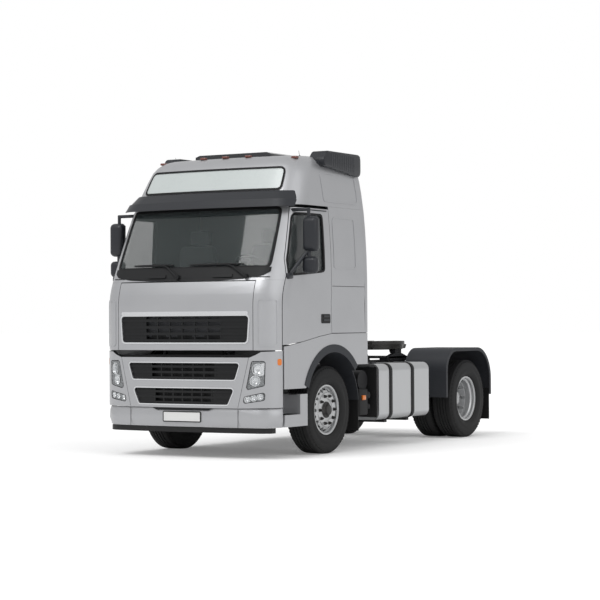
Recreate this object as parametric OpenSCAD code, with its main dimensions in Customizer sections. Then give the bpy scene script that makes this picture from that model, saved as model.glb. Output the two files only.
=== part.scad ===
// Two-axle semi truck tractor unit with a high sleeper cab.
// Millimetres, Z up, the front faces -Y and the left (driver's) side is +X.
// The origin is on the ground, in the middle of the vehicle's length and width.

/* [Layout] */
// Distance between the two axles
wheelbase = 3700; // [3500:10:4400]
// Front axle to the foremost point of the bumper
front_overhang = 1400; // [1380:5:1420]
// Rear axle to the tail
rear_overhang = 700; // [690:10:900]
// Top of the frame rails above the ground
frame_top = 1030; // [1010:5:1045]
// Width over the frame rails
frame_w = 770; // [740:10:800]
// Depth of a frame rail
rail_h = 270; // [220:5:300]
// Plate thickness of a frame rail
rail_t = 8; // [6:1:12]
// Flange width of a frame rail
rail_flange = 80; // [60:5:90]

/* [Cab] */
// Half width of the cab at the doors
cab_half = 1240; // [1230:1:1250]
// Length of the cab behind the front axle
cab_behind_axle = 830; // [700:10:900]
// Radius of the front corners, seen from above
corner_r = 340; // [300:5:360]
// Radius of the bowed front, seen from above
bow_r = 8000; // [6000:100:12000]
// Thickness of the cab walls
wall_t = 60; // [40:1:70]
// Thickness of a door
door_t = 80; // [60:1:100]
// Width of the shut lines between panels
seam = 6; // [5:0.5:10]
// Top of the cab floor
floor_z = 1435; // [1430:1:1440]
// Height of the cab's tilting axis
tilt_z = 1000; // [960:5:1010]
// Tilting axis behind the foremost point of the cab
tilt_back = 185; // [170:5:200]
// Radius of the tilting pins
tilt_pin_r = 25; // [18:1:30]

/* [Wheels] */
// Outer radius of a tyre
tyre_r = 522; // [500:1:525]
// Width of a tyre
tyre_w = 305; // [275:5:310]
// Flange radius of a rim
rim_r = 298; // [290:1:300]
// Half width of a rim
rim_half_w = 114; // [105:1:120]
// Middle of the vehicle to the middle of a front tyre
front_track = 1020; // [1000:5:1030]
// Middle of the vehicle to the mating face of the twin wheels
twin_face = 895; // [880:5:900]
// Mating face to the middle of each twin tyre
twin_offset = 165; // [160:1:175]
// Mating face of a front wheel outside the middle of its tyre
front_offset = 108; // [100:1:112]
// Middle of the vehicle to a kingpin
kingpin_x = 915; // [905:1:925]
// Kingpin radius
kingpin_r = 25; // [20:1:30]
// Front spindle radius
spindle_r = 32; // [25:1:40]
// Rear spindle radius
rear_spindle_r = 45; // [35:1:55]
// Running clearance of pins in their bores
running = 0.05; // [0.02:0.01:0.1]
// Kingpin to the track rod's ball, along the vehicle
steer_arm = 170; // [150:5:180]

/* [Fifth wheel] */
// Top of the coupling plate above the ground
coupling_z = 1305; // [1295:5:1350]
// Coupling centre ahead of the rear axle
coupling_ahead = 570; // [400:10:700]
// Radius of the coupling plate
plate_r = 480; // [440:5:500]
// Thickness of the coupling plate
plate_t = 45; // [30:1:50]
// Radius of the hole for a trailer's king pin
coupling_pin_r = 25.6; // [25.4:0.1:27]
// Radius of the plate's trunnion pins
trunnion_r = 30; // [20:1:35]

/* [Tank] */
// Length of the fuel tank
tank_len = 1357; // [900:10:1380]
// Height of the fuel tank
tank_h = 697; // [500:5:700]
// Outer face of the tank from the middle of the vehicle
tank_out = 1200; // [1100:5:1210]
// Inner face of the tank from the middle of the vehicle
tank_in = 600; // [560:5:650]
// Radius of the tank's long edges
tank_edge_r = 90; // [60:5:120]

/* [Hidden] */
$fn = 48;

// Places along the vehicle
total_len = front_overhang + wheelbase + rear_overhang;
front_axle_y = front_overhang - total_len / 2;
rear_axle_y = front_axle_y + wheelbase;
bumper_y = -total_len / 2;
bumper_lead = 15;
cab_y = bumper_y + bumper_lead;
cab_back_y = front_axle_y + cab_behind_axle;
axle_z = tyre_r;
rail_out = frame_w / 2;
rail_in = rail_out - rail_t;
frame_bottom = frame_top - rail_h;

// Where the bowed front meets the corner arcs, as an angle and a half width
corner_x = cab_half - corner_r;
bow_a = asin(corner_x / (bow_r - corner_r));
bow_x = bow_r * sin(bow_a);
corner_y = cab_y + bow_x * bow_x / (2 * bow_r) + corner_r * cos(bow_a);

// Half width of the cab, as [height, share of the half width at the doors]
NARROWING = [
  [0, 1], [2100, 1], [2400, 0.9935], [2685, 0.9806], [2900, 0.9653], [3130, 0.9395],
  [3280, 0.9169], [3400, 0.8911], [3480, 0.8548], [3530, 0.8065], [3555, 0.7258]
];
// Lean of the front, as [height, distance back]
LEAN = [
  [0, 0], [1900, 0], [2900, 457], [3400, 742], [3460, 795], [3510, 870], [3540, 960], [3555, 1100]
];
// Heights of the panel lines
lid_bottom = 1248;
lid_top = 2040;
cowl_bottom = 2050;
glass_bottom = 2190;
glass_top = 2905;
skin_top = 2930;
roof_bottom = 2936;
door_top = 2906;
roof_top = 3555;
// Door's bottom line, as [distance behind the front axle, height]
SILL = [[-1160, 1287], [-724, 1343], [-326, 1402], [-43, 1433], [0, 1435], [900, 1435]];
// Front edge of the door, as [height, angle round the corner]
PILLAR = [[1200, 66], [2100, 66], [2300, 53.5], [2860, 45], [2940, 44]];
// Front edge of the door's window, in the same terms
QUARTER = [[2090, 72], [2283, 58.7], [2850, 50], [2860, 50]];
door_back = -50;
window_back = -195;

function share(z) = lookup(z, NARROWING);
function lean(z) = lookup(z, LEAN);
function depth(t, z) = is_num(t) ? t : lookup(z, t);
// Point of the cab's outline at angle a and depth t; past 90 degrees it runs down the side
function outline(a, t) =
  let (s = sign(a), b = abs(a))
  b <= bow_a
    ? let (x = bow_x * b / bow_a) [s * (x - t * x / bow_r), cab_y + x * x / (2 * bow_r) + t]
    : b <= 90
      ? [s * (corner_x + (corner_r - t) * sin(b)), corner_y - (corner_r - t) * cos(b)]
      : [s * (cab_half - t), corner_y + (b - 90) * 10];
function skin_point(a, z, t) =
  let (p = outline(a, depth(t, z)))
  [p.x * share(z), p.y + lean(z), z];
// Angle that lands on a place y along the vehicle at height z
function angle_at(y, z) =
  let (d = corner_y + lean(z) - y)
  d <= 0 ? 90 - d / 10 : acos(min(1, d / corner_r));
function at_y(y) = function(z) angle_at(front_axle_y + y, z);
function at_angle(a) = function(z) a;
function along(table, shift = 0) = function(z) lookup(z, table) + shift;
function mirrored_lines(lines) =
  [for (i = [len(lines) - 1:-1:0]) let (f = lines[i]) function(z) -f(z)];
seam_a = seam / corner_r * 180 / PI;
function level(row, i) = is_num(row) ? row : lookup(i, row);

// Curved sheet between depths t0 and t1: COLS are functions of height giving angles,
// ROWS are heights or [column, height] tables, HOLES are [col from, col to, row from, row to]
module skin(cols, rows, t0, t1, holes = []) {
  nc = len(cols);
  nr = len(rows);
  n = nc * nr;
  function filled(i, j) =
    i >= 0 && i < nc - 1 && j >= 0 && j < nr - 1
    && len([for (h = holes) if (i >= h[0] && i < h[1] && j >= h[2] && j < h[3]) 1]) == 0;
  function quad(a, b, c, d) = [[a, b, c], [a, c, d]];
  points = [
    for (t = [t0, t1], j = [0:nr - 1], i = [0:nc - 1])
      let (z = level(rows[j], i))
      skin_point(cols[i](z), z, t)
  ];
  faces = [
    for (j = [0:nr - 2], i = [0:nc - 2])
      if (filled(i, j))
        let (p00 = i + j * nc, p10 = p00 + 1, p01 = p00 + nc, p11 = p01 + 1)
        each concat(
          quad(p00, p01, p11, p10),
          quad(p00 + n, p10 + n, p11 + n, p01 + n),
          filled(i - 1, j) ? [] : quad(p00 + n, p01 + n, p01, p00),
          filled(i + 1, j) ? [] : quad(p10, p11, p11 + n, p10 + n),
          filled(i, j - 1) ? [] : quad(p00, p10, p10 + n, p00 + n),
          filled(i, j + 1) ? [] : quad(p11, p01, p01 + n, p11 + n)
        )
  ];
  polyhedron(points, faces, convexity = 6);
}

// Flat outline of the cab at depth t, back to a place y
module plan(t, back) {
  turn = [90, 78, 66, 54, 42, 30, 18];
  bow = [1, 0.6, 0.2];
  half = concat([for (a = turn) outline(a, t)], [for (k = bow) outline(bow_a * k, t)]);
  n = len(half);
  polygon(concat(
    [[cab_half - t, back]], half,
    [for (i = [n - 1:-1:0]) [-half[i].x, half[i].y]], [[t - cab_half, back]]
  ));
}
module plan_wall(t0, t1, z0, z1, back) {
  translate([0, 0, z0])
    linear_extrude(z1 - z0)
      difference() {
        plan(t0, back);
        plan(t1, back + 1);
      }
}
module box(x, y, z) {
  translate([x[0], y[0], z[0]])
    cube([x[1] - x[0], y[1] - y[0], z[1] - z[0]]);
}
module both_sides() {
  children();
  mirror([1, 0, 0]) children();
}
// Extrusions of a flat outline along one axis, between two places
module along_x(x) {
  translate([x[0], 0, 0])
    rotate([90, 0, 90])
      linear_extrude(x[1] - x[0])
        children();
}
module along_y(y) {
  translate([0, y[1], 0])
    rotate([90, 0, 0])
      linear_extrude(y[1] - y[0])
        children();
}
module rod_x(x, y, z, r) {
  translate([x[0], y, z])
    rotate([0, 90, 0])
      cylinder(h = x[1] - x[0], r = r);
}
module rod_y(x, y, z, r) {
  translate([x, y[0], z])
    rotate([-90, 0, 0])
      cylinder(h = y[1] - y[0], r = r);
}
module rod_z(x, y, z, r) {
  translate([x, y, z[0]])
    cylinder(h = z[1] - z[0], r = r);
}
module rounded(x, y, r) {
  translate([x[0] + r, y[0]]) square([x[1] - x[0] - 2 * r, y[1] - y[0]]);
  translate([x[0], y[0] + r]) square([x[1] - x[0], y[1] - y[0] - 2 * r]);
  for (u = [x[0] + r, x[1] - r], v = [y[0] + r, y[1] - r])
    translate([u, v]) circle(r);
}

// ---------------------------------------------------------------- frame and drive
rail_front = front_axle_y - 950;
rail_back = rear_axle_y + rear_overhang - 120;
bracket_t = 25;
bracket_x = [rail_out + 0.5, rail_out + 0.5 + bracket_t];
tilt_y = cab_y + tilt_back;

module frame_rails() {
  color("#26282b")
    both_sides()
      along_y([rail_front, rail_back])
        difference() {
          translate([rail_out - rail_flange, frame_bottom]) square([rail_flange, rail_h]);
          translate([rail_out - rail_flange - 1, frame_bottom + rail_t])
            square([rail_flange + 1 - rail_t, rail_h - 2 * rail_t]);
        }
}
module crossmembers() {
  half = rail_in - 0.5;
  color("#26282b") {
    for (y = [rear_axle_y - 880, rear_axle_y + 330])
      box([-half, half], [y - 60, y + 60], [frame_bottom + 40, frame_top - 40]);
    box([-half, half], [rail_back - 90, rail_back - 10], [frame_bottom + 20, frame_top - 20]);
    box([-half, half], [rail_front + 560, rail_front + 640], [frame_bottom - 180, frame_bottom - 100]);
    both_sides()
      box([half - 70, half], [rail_front + 560, rail_front + 640], [frame_bottom - 100.5, frame_bottom - 0.5]);
  }
}
module nose_brackets() {
  color("#26282b")
    both_sides() {
      box(bracket_x, [bumper_y + 140, rail_front + 260], [800, frame_top + 20]);
      box(bracket_x, [bumper_y + 73, bumper_y + 140], [800, 900]);
      rod_x([bracket_x[1] - 1, bracket_x[1] + 79], tilt_y, tilt_z, tilt_pin_r);
      box([bracket_x[1] - 1, 950], [rail_front - 80, rail_front - 40], [810, 860]);
    }
}
module engine_block() {
  color("#4a4d50")
    box([-300, 300], [front_axle_y - 900, front_axle_y + 200], [680, 1280]);
}
module radiator() {
  color("#1b1c1e")
    box([-rail_out, rail_out], [front_axle_y - 1110, front_axle_y - 1000], [520, 1240]);
}
pinion_y = rear_axle_y - 430;
module gearbox_and_shaft() {
  shaft_y = front_axle_y + 1050;
  dz = 800 - axle_z - 30;
  run = pinion_y - shaft_y;
  color("#4a4d50") {
    rod_y(0, [front_axle_y + 200.5, shaft_y], 820, 200);
    translate([0, shaft_y - 10, 800])
      rotate([-90 - atan(dz / run), 0, 0])
        cylinder(h = norm([run, dz]) + 4.4, r = 45);
  }
}
module driveline() {
  engine_block();
  gearbox_and_shaft();
}
module front_axle() {
  end_x = kingpin_x;
  top = axle_z - 20;
  color("#2b2d30")
    difference() {
      union() {
        along_y([front_axle_y - 45, front_axle_y + 45])
          polygon([
            [-end_x, axle_z + 35], [-end_x, axle_z - 35], [-780, axle_z - 60], [-600, axle_z - 130],
            [600, axle_z - 130], [780, axle_z - 60], [end_x, axle_z - 35], [end_x, axle_z + 35],
            [760, axle_z + 35], [560, axle_z - 42], [-560, axle_z - 42], [-760, axle_z + 35]
          ]);
        both_sides()
          rod_z(kingpin_x, front_axle_y, [axle_z - 55, axle_z + 55], 42);
      }
      both_sides()
        rod_z(kingpin_x, front_axle_y, [axle_z - 60, axle_z + 60], kingpin_r + running);
    }
}
spring_x = [rail_out - 35, rail_out + 40];
module springs() {
  span = 760;
  base = axle_z - 41.5;
  color("#1d1e20")
    both_sides() {
      along_x(spring_x)
        polygon(concat(
          [for (k = [-1:0.25:1]) [front_axle_y + k * span, base + 110 * k * k]],
          [for (k = [1:-0.25:-1]) [front_axle_y + k * span, base + 46 + 100 * k * k]]
        ));
      for (y = [front_axle_y - span + 40, front_axle_y + span - 40])
        box([rail_out - 30, rail_out - 5], [y - 40, y + 40], [base + 130, frame_bottom - 0.5]);
    }
}
module rear_axle() {
  color("#2b2d30") {
    rod_x([-560, 560], rear_axle_y, axle_z, 75);
    rod_x([-140, 140], rear_axle_y, axle_z, 205);
    rod_y(0, [pinion_y, rear_axle_y], axle_z + 20, 95);
    both_sides()
      rod_x([550, twin_face + 80], rear_axle_y, axle_z, rear_spindle_r);
  }
}
module air_bellows() {
  beam_top = axle_z - 75.5;
  reach = 430;
  x = rail_out + 55;
  color("#1a1a1b")
    both_sides() {
      for (s = [-1, 1])
        rod_z(x, rear_axle_y + s * reach, [beam_top - 1, frame_bottom - 0.5], 100);
      box([x - 45, x + 45], [rear_axle_y - reach - 90, rear_axle_y + reach + 90], [beam_top - 60, beam_top]);
    }
}

// ---------------------------------------------------------------- along the frame
tank_y = front_axle_y + 1190;
tank_top = frame_top + 10;
tank_bottom = tank_top - tank_h;
STRAPS = [310, 900];
module fuel_tank() {
  color("#b9bcbf")
    along_y([tank_y, tank_y + tank_len])
      rounded([tank_in, tank_out], [tank_bottom, tank_top], tank_edge_r);
}
box_gap = 40;
silencer_len = 820;
module side_boxes() {
  color("#8e9194") {
    along_y([tank_y, tank_y + silencer_len])
      rounded([-tank_out, -tank_in], [tank_bottom, frame_top - 20], 60);
    along_y([tank_y + silencer_len + box_gap, tank_y + tank_len])
      rounded([-tank_out, -tank_in], [tank_bottom + 60, frame_top - 60], 25);
  }
}
module bracket_l(y, low, reach) {
  box([rail_out + 0.5, tank_in - 0.5], [y - 35, y + 35], [low - 40, frame_top - 40]);
  box([rail_out + 0.5, reach], [y - 35, y + 35], [low - 40, low - 0.5]);
}
module box_brackets() {
  color("#1d1e20") {
    for (s = STRAPS)
      bracket_l(tank_y + s, tank_bottom, tank_out - 80);
    mirror([1, 0, 0]) {
      for (s = [200, 640])
        bracket_l(tank_y + s, tank_bottom, tank_out - 80);
      bracket_l(tank_y + silencer_len + box_gap + 200, tank_bottom + 60, tank_out - 80);
    }
  }
}
air_tank_r = 125;
module air_tanks() {
  y = front_axle_y + 985;
  color("#2a2b2d")
    both_sides() {
      rod_x([rail_out + 40, 1080], y, frame_top - 190, air_tank_r);
      rod_x([rail_out + 40, 1080], y, frame_top - 470, air_tank_r);
      box([rail_out + 0.5, rail_out + 60], [y - 60, y + 60], [frame_top - 560, frame_top - 30]);
      box([700, 1080], [y - 20, y + 20], [frame_top - 400, frame_top - 250]);
    }
}
module deck_plate() {
  color("#3a3c3f")
    box([-rail_out, rail_out], [cab_back_y + 120, coupling_y - 420], [frame_top + 0.3, frame_top + 6]);
}

// ---------------------------------------------------------------- front end
bumper_t = 60;
bumper_top = 1166;
bumper_split = 583;
bumper_bottom = 360;
corner_end = 68;
bumper_back = bumper_y - cab_y + corner_y - corner_r * cos(corner_end);
// Grille openings, as [bottom, top, half width at bottom, half width at top]
GRILLES = [[909, 1103, 698, 761], [624, 811, 506, 678]];
// Lamp openings, as [inner, outer] pairs of [half width, height], bottom first
HEADLAMP = [[848, 790], [1074, 842], [1083, 1128], [922, 1128]];
FOGLAMP = [[811, 636], [1073, 677], [1081, 775], [828, 722]];
module grille_shape(g, gap = 0) {
  polygon([
    [-g[2] + gap, g[0] + gap], [g[2] - gap, g[0] + gap],
    [g[3] - gap, g[1] - gap], [-g[3] + gap, g[1] - gap]
  ]);
}
module bumper_shell(t0, t1, z0, z1) {
  translate([0, bumper_y - cab_y, 0])
    difference() {
      plan_wall(t0, t1, z0, z1, corner_y + 10);
      box([-2000, 2000], [bumper_back - bumper_y + cab_y, corner_y + 400], [0, 3000]);
    }
}
module bumper() {
  color("#a9acb0")
    difference() {
      bumper_shell(0, bumper_t, bumper_split, bumper_top);
      along_y([bumper_y - 50, front_axle_y - 1000]) {
        for (g = GRILLES)
          grille_shape(g);
        polygon(HEADLAMP);
        polygon(FOGLAMP);
        mirror([1, 0]) polygon(HEADLAMP);
        mirror([1, 0]) polygon(FOGLAMP);
      }
    }
}
module bumper_lower() {
  color("#a9acb0")
    bumper_shell(0, bumper_t, bumper_bottom, bumper_split - 0.5);
}
module bumper_lip() {
  color("#17181a")
    intersection() {
      bumper_shell(35, 95, 300, bumper_bottom - 0.5);
      box([-1120, 1120], [bumper_y, front_axle_y], [0, 1000]);
    }
}
module lower_grilles() {
  color("#1a1b1d")
    intersection() {
      bumper_shell(15, bumper_t - 5, bumper_split, bumper_top);
      along_y([bumper_y - 50, front_axle_y - 1000])
        for (g = GRILLES)
          grille_shape(g, 0.5);
    }
}
module headlamps() {
  color("#d8dde0")
    intersection() {
      bumper_shell(4, bumper_t - 5, bumper_split, bumper_top);
      both_sides()
        along_y([bumper_y - 50, front_axle_y - 1000]) {
          polygon([for (p = HEADLAMP) p + [p.x < 1000 ? 0.5 : -0.5, p.y < 1000 ? 0.5 : -0.5]]);
          polygon([for (p = FOGLAMP) p + [p.x < 1000 ? 0.5 : -0.5, p.y < 700 ? 0.5 : -0.5]]);
        }
    }
}
arch_z = 560;
arch_in = 650;
arch_out = 740;
panel_t = 30;
panel_front = -1105;
panel_bottom = 802;
skirt_bottom = 1050;
module side_panels() {
  drop = seam;
  color("#a9acb0")
    both_sides()
      intersection() {
        plan_wall(0, panel_t, panel_bottom, 1500, cab_back_y);
        along_x([1000, cab_half + 100])
          translate([front_axle_y, 0])
            difference() {
              polygon(concat(
                [[panel_front, panel_bottom], [cab_behind_axle, panel_bottom],
                 [cab_behind_axle, lookup(cab_behind_axle, SILL) - drop]],
                [for (i = [3:-1:1]) SILL[i] - [0, drop]],
                [[panel_front, lookup(panel_front, SILL) - drop]]
              ));
              translate([0, arch_z]) circle(arch_in + 45);
              translate([0, panel_bottom - 1])
                square([cab_behind_axle + 1, skirt_bottom - panel_bottom + 1]);
            }
      }
}
liner_t = 12;
arch_x = [800, cab_half - panel_t - 0.5];
// Part turn of an outline given as [radius, place across the vehicle]
module arch_turn(from, to, outline) {
  translate([0, front_axle_y, arch_z])
    rotate([90, 0, 90])
      rotate([0, 0, from])
        rotate_extrude(angle = to - from, $fn = 96)
          polygon(outline);
}
module wheel_arches() {
  r = arch_in;
  out = cab_half + 8;
  stay_y = 600;
  color("#2e3033")
    both_sides() {
      arch_turn(5, 158, [[r, arch_x[0]], [r + liner_t, arch_x[0]], [r + liner_t, arch_x[1] - 5], [r, arch_x[1] - 5]]);
      arch_turn(40, 158, [[r - 3, arch_x[1] - 20], [r + 44, arch_x[1] - 20], [r + 44, cab_half + 0.5],
        [arch_out, cab_half + 0.5], [arch_out, out], [r - 3, out]]);
      for (s = [-1, 1])
        rod_x([s < 0 ? bracket_x[1] + 0.5 : rail_out + 0.5, arch_x[0] + 5],
          front_axle_y + s * stay_y, arch_z + 265, 16);
    }
}
module steps() {
  front = front_axle_y - 1095;
  back = front_axle_y - 622;
  color("#a9acb0")
    both_sides()
      intersection() {
        union() {
          box([960, cab_half], [front, back], [368, 505]);
          box([960, cab_half], [back - 165, back], [500, 735]);
          box([960, 1010], [front, back], [500, 735]);
          box([950.5, 1010], [rail_front - 110, rail_front - 10], [660, 880]);
        }
        translate([0, 0, 300])
          linear_extrude(600)
            plan(0, front_axle_y);
      }
}
flap_t = 10;
module mudflaps() {
  color("#151617")
    both_sides() {
      box([870, 1195], [front_axle_y + arch_in + 10, front_axle_y + arch_in + 10 + flap_t], [240, 700]);
      box([640, 1215], [rear_axle_y + guard_back - guard_t - flap_t - 0.5, rear_axle_y + guard_back - guard_t - 0.5], [217, 640]);
    }
}
guard_front = 720;
guard_back = 660;
guard_top = 1210;
guard_t = 12;
guard_low = 560;
guard_x = [620, 1240];
module guard_shape(inset, low) {
  front_r = 300;
  back_r = 430;
  intersection() {
    union() {
      translate([front_r - guard_front, guard_top - front_r]) circle(front_r - inset);
      translate([guard_back - back_r, guard_top - back_r]) circle(back_r - inset);
      translate([inset - guard_front, low]) square([guard_front, guard_top - front_r - low]);
      translate([front_r - guard_front, low])
        square([guard_front + guard_back - front_r - back_r, guard_top - inset - low]);
      translate([0, low]) square([guard_back - inset, guard_top - back_r - low]);
    }
    translate([-1000, low]) square([2000, 1000]);
  }
}
module rear_guards() {
  sheet = guard_t;
  lip = 45;
  color("#2e3033")
    both_sides() {
      translate([0, rear_axle_y, 0]) {
        along_x(guard_x)
          difference() {
            guard_shape(0, guard_low);
            guard_shape(sheet, guard_low - 10);
          }
        along_x([guard_x[1] - sheet, guard_x[1]])
          difference() {
            guard_shape(sheet - 1, guard_low);
            guard_shape(lip, guard_low - 10);
          }
        rod_x([rail_out + 0.5, guard_x[0] + 40], -guard_front + 32, 900, 20.5);
        rod_x([rail_out + 0.5, guard_x[0] + 40], guard_back - 32, 740, 20.5);
        box([rail_out + 0.5, rail_out + 40], [guard_back - 120, guard_back - 5], [700, frame_bottom + 5]);
      }
    }
}
module tail_lamps() {
  y = rail_back;
  color("#7a1512") {
    box([-600, 600], [y + 0.5, y + 45], [frame_bottom + 10, frame_bottom + 90]);
    both_sides()
      box([390, 602], [y + 45.5, y + 118], [frame_bottom + 6, frame_bottom + 110]);
  }
}

// ---------------------------------------------------------------- fifth wheel
coupling_y = rear_axle_y - coupling_ahead;
trunnion_z = coupling_z - 115;
module coupling_base() {
  base_z = frame_top + 45;
  color("#1c1d1f") {
    box([-450, 450], [coupling_y - 320, coupling_y + 330], [base_z, base_z + 25]);
    both_sides() {
      box([rail_out - 60, rail_out - 1], [coupling_y - 310, coupling_y + 320], [frame_top + 0.5, base_z + 1]);
      box([385, 445], [coupling_y - 90, coupling_y + 90], [base_z + 24, trunnion_z + 45]);
      rod_x([330, 386], coupling_y, trunnion_z, trunnion_r);
    }
  }
}
module coupling_plate() {
  top = coupling_z;
  color("#232426")
    difference() {
      union() {
        intersection() {
          rod_z(0, coupling_y, [top - plate_t, top], plate_r);
          box([-plate_r, plate_r], [coupling_y - 400, coupling_y + plate_r], [0, top]);
        }
        both_sides() {
          box([334, 376], [coupling_y - 45, coupling_y + 45], [trunnion_z, top - plate_t + 1]);
          rod_x([334, 376], coupling_y, trunnion_z, trunnion_r + 22);
        }
      }
      rod_z(0, coupling_y, [0, top + 1], coupling_pin_r);
      translate([0, coupling_y, top - plate_t - 1])
        linear_extrude(plate_t + 2)
          polygon([[-coupling_pin_r, 0], [coupling_pin_r, 0], [coupling_pin_r, 150], [190, plate_r + 10],
            [-190, plate_r + 10], [-coupling_pin_r, 150]]);
      both_sides()
        rod_x([300, 400], coupling_y, trunnion_z, trunnion_r + running);
    }
}

// ---------------------------------------------------------------- cab
beam_x = [375, 445];
beam_bottom = 1310;
beam_top = floor_z - 35;
support_y = cab_back_y - 130;
lug_x = [bracket_x[1] + 20, bracket_x[1] + 54];
module rear_posts() {
  color("#26282b")
    both_sides() {
      rod_z((beam_x[0] + beam_x[1]) / 2 - 15, support_y, [frame_top + 50, beam_bottom - 0.5], 42);
      box([rail_out - 70, rail_out - 0.5], [support_y - 60, support_y + 60], [frame_top + 0.5, frame_top + 51]);
    }
}
module cab_mounts() {
  nose_brackets();
  rear_posts();
}
module cab_floor() {
  color("#5a5d60")
    difference() {
      union() {
        translate([0, 0, beam_top])
          linear_extrude(floor_z - beam_top) {
            intersection() {
              plan(door_t + 15, cab_back_y);
              translate([-1150, cab_y]) square([2300, 4000]);
            }
            intersection() {
              plan(wall_t + 4.5, cab_back_y);
              translate([-1200, cab_y]) square([2400, corner_y - corner_r * cos(60) - cab_y]);
            }
          }
        both_sides() {
          box(beam_x, [cab_y + 280, cab_back_y - 20], [beam_bottom, beam_top + 1]);
          box(lug_x, [tilt_y + 110, tilt_y + 230], [tilt_z - 50, beam_top + 1]);
          box(lug_x, [tilt_y, tilt_y + 111], [tilt_z - 50, tilt_z + 25]);
          rod_x(lug_x, tilt_y, tilt_z, tilt_pin_r + 25);
        }
      }
      both_sides()
        rod_x([lug_x[0] - 5, lug_x[1] + 5], tilt_y, tilt_z, tilt_pin_r + running);
    }
}
module firewall() {
  right = [at_angle(bow_a), at_angle(22), at_angle(40), at_angle(58)];
  color("#3c3e41")
    skin(concat(mirrored_lines(right), [at_angle(0)], right), [floor_z + 0.5, 1900, cowl_bottom - 0.5],
      wall_t + 0.5, wall_t + 20);
}
function bow_lines(a, n) = [for (k = [-n:n]) at_angle(a * k / n)];
lid_a = bow_a;
module corner_panels() {
  color("#a9acb0")
    both_sides()
      skin([at_angle(lid_a + seam_a), at_angle(20), at_angle(34), at_angle(50), at_angle(66)],
        [lid_bottom, 1900, cowl_bottom - 0.5], 0, wall_t);
}
SCREEN_A = 31;
module screen_frame() {
  edge = along(PILLAR);
  right = [at_angle(lid_a), at_angle(18), at_angle(SCREEN_A), at_angle(38), edge];
  cols = concat(mirrored_lines(right), [at_angle(0)], right);
  n = len(right);
  color("#a9acb0")
    skin(cols, [cowl_bottom, 2100, glass_bottom, 2400, 2685, glass_top, skin_top], 0, wall_t,
      [[n - 3, n + 3, 2, 5]]);
}
module cab_front() {
  firewall();
  corner_panels();
  screen_frame();
}
module windscreen() {
  a = SCREEN_A - 0.09;
  right = [at_angle(lid_a), at_angle(18), at_angle(a)];
  color("#9fb4b8", 0.4)
    skin(concat(mirrored_lines(right), [at_angle(0)], right),
      [glass_bottom + 0.5, 2400, 2685, glass_top - 0.5], 12, 20);
}
side_front = door_back + seam;
side_back = cab_behind_axle - wall_t - 0.5;
side_edges = [at_y(side_front), at_y(side_back)];
module cab_sides() {
  color("#a9acb0")
    both_sides()
      skin(side_edges, [floor_z + 0.5, 2100, 2400, 2685, door_top, roof_bottom - 0.5], 0, wall_t);
}
module back_shape(t, z0) {
  zs = concat([z0, 2100], [for (i = [2:len(NARROWING) - 1]) NARROWING[i][0]]);
  half = [for (z = zs) [(cab_half - t) * share(z), z]];
  n = len(half);
  polygon(concat(half, [for (i = [n - 1:-1:0]) [-half[i].x, half[i].y]]));
}
module cab_back() {
  color("#a9acb0")
    along_y([cab_back_y - wall_t, cab_back_y])
      back_shape(0, floor_z + 0.5);
}
// Roof: a closed loft of outlines, open at the bottom and at the back wall
ROOF_LEVELS = [roof_bottom, 3130, 3280, 3400, 3460, 3510, 3540, 3555];
roof_t = 50;
module roof() {
  back = cab_back_y - wall_t - 0.5;
  turn = [6.5, 14, 22, 31, 40, 50, 60, 70, 80, 90];
  function ring(z, t) =
    let (
      k = share(z),
      right = concat([for (a = turn) skin_point(a, z, t)], [[(cab_half - t) * k, back, z]]),
      m = len(right)
    )
    concat([for (i = [m - 1:-1:0]) [-right[i].x, right[i].y, z]], [skin_point(0, z, t)], right);
  outer = [for (z = ROOF_LEVELS) ring(z, 0)];
  inner = [for (z = ROOF_LEVELS) [for (p = ring(z, roof_t)) [p.x, p.y, z > 3300 ? z - roof_t * min(1, (z - 3300) / 200) : z]]];
  nc = len(outer[0]);
  nr = len(ROOF_LEVELS);
  n = nc * nr;
  last = (nr - 1) * nc;
  function quad(a, b, c, d) = [[a, b, c], [a, c, d]];
  sides = [
    for (j = [0:nr - 2], i = [0:nc - 2])
      let (p = i + j * nc)
      each concat(quad(p, p + nc, p + nc + 1, p + 1), quad(p + n, p + 1 + n, p + nc + 1 + n, p + nc + n))
  ];
  caps = [
    for (i = [0:(nc - 3) / 2])
      let (a = last + i, b = last + nc - 1 - i)
      each i == (nc - 3) / 2
        ? [[a, b, a + 1], [a + n, a + 1 + n, b + n]]
        : concat(quad(a, b, b - 1, a + 1), quad(a + n, a + 1 + n, b - 1 + n, b + n))
  ];
  rim = [for (i = [0:nc - 2]) each quad(i, i + 1, i + 1 + n, i + n)];
  ends = [
    for (j = [0:nr - 2])
      let (p = j * nc, q = p + nc - 1)
      each concat(quad(p + n, p + nc + n, p + nc, p), quad(q, q + nc, q + nc + n, q + n))
  ];
  top_edge = quad(last + n, last + nc - 1 + n, last + nc - 1, last);
  color("#a9acb0")
    polyhedron([for (r = outer) each r, for (r = inner) each r],
      concat(sides, caps, rim, ends, top_edge), convexity = 6);
}
module sun_visor() {
  right = [at_angle(6.5), at_angle(20), at_angle(34), at_angle(48), at_angle(62)];
  color("#2a2c30")
    skin(concat(mirrored_lines(right), [at_angle(0)], right), [2905, 3000, 3105],
      [[2905, -115], [3000, -95], [3105, -30]], [[2905, -95], [3000, -70], [3105, -3.2]]);
}
module roof_sign() {
  edge = along([[3110, 21], [3396, 25]]);
  color("#dfe4e2")
    skin([function(z) -edge(z), at_angle(-14), at_angle(-6.5), at_angle(0), at_angle(6.5), at_angle(14), edge],
      [3112, 3130, 3280, 3396], -14, -1.4);
}
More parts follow.
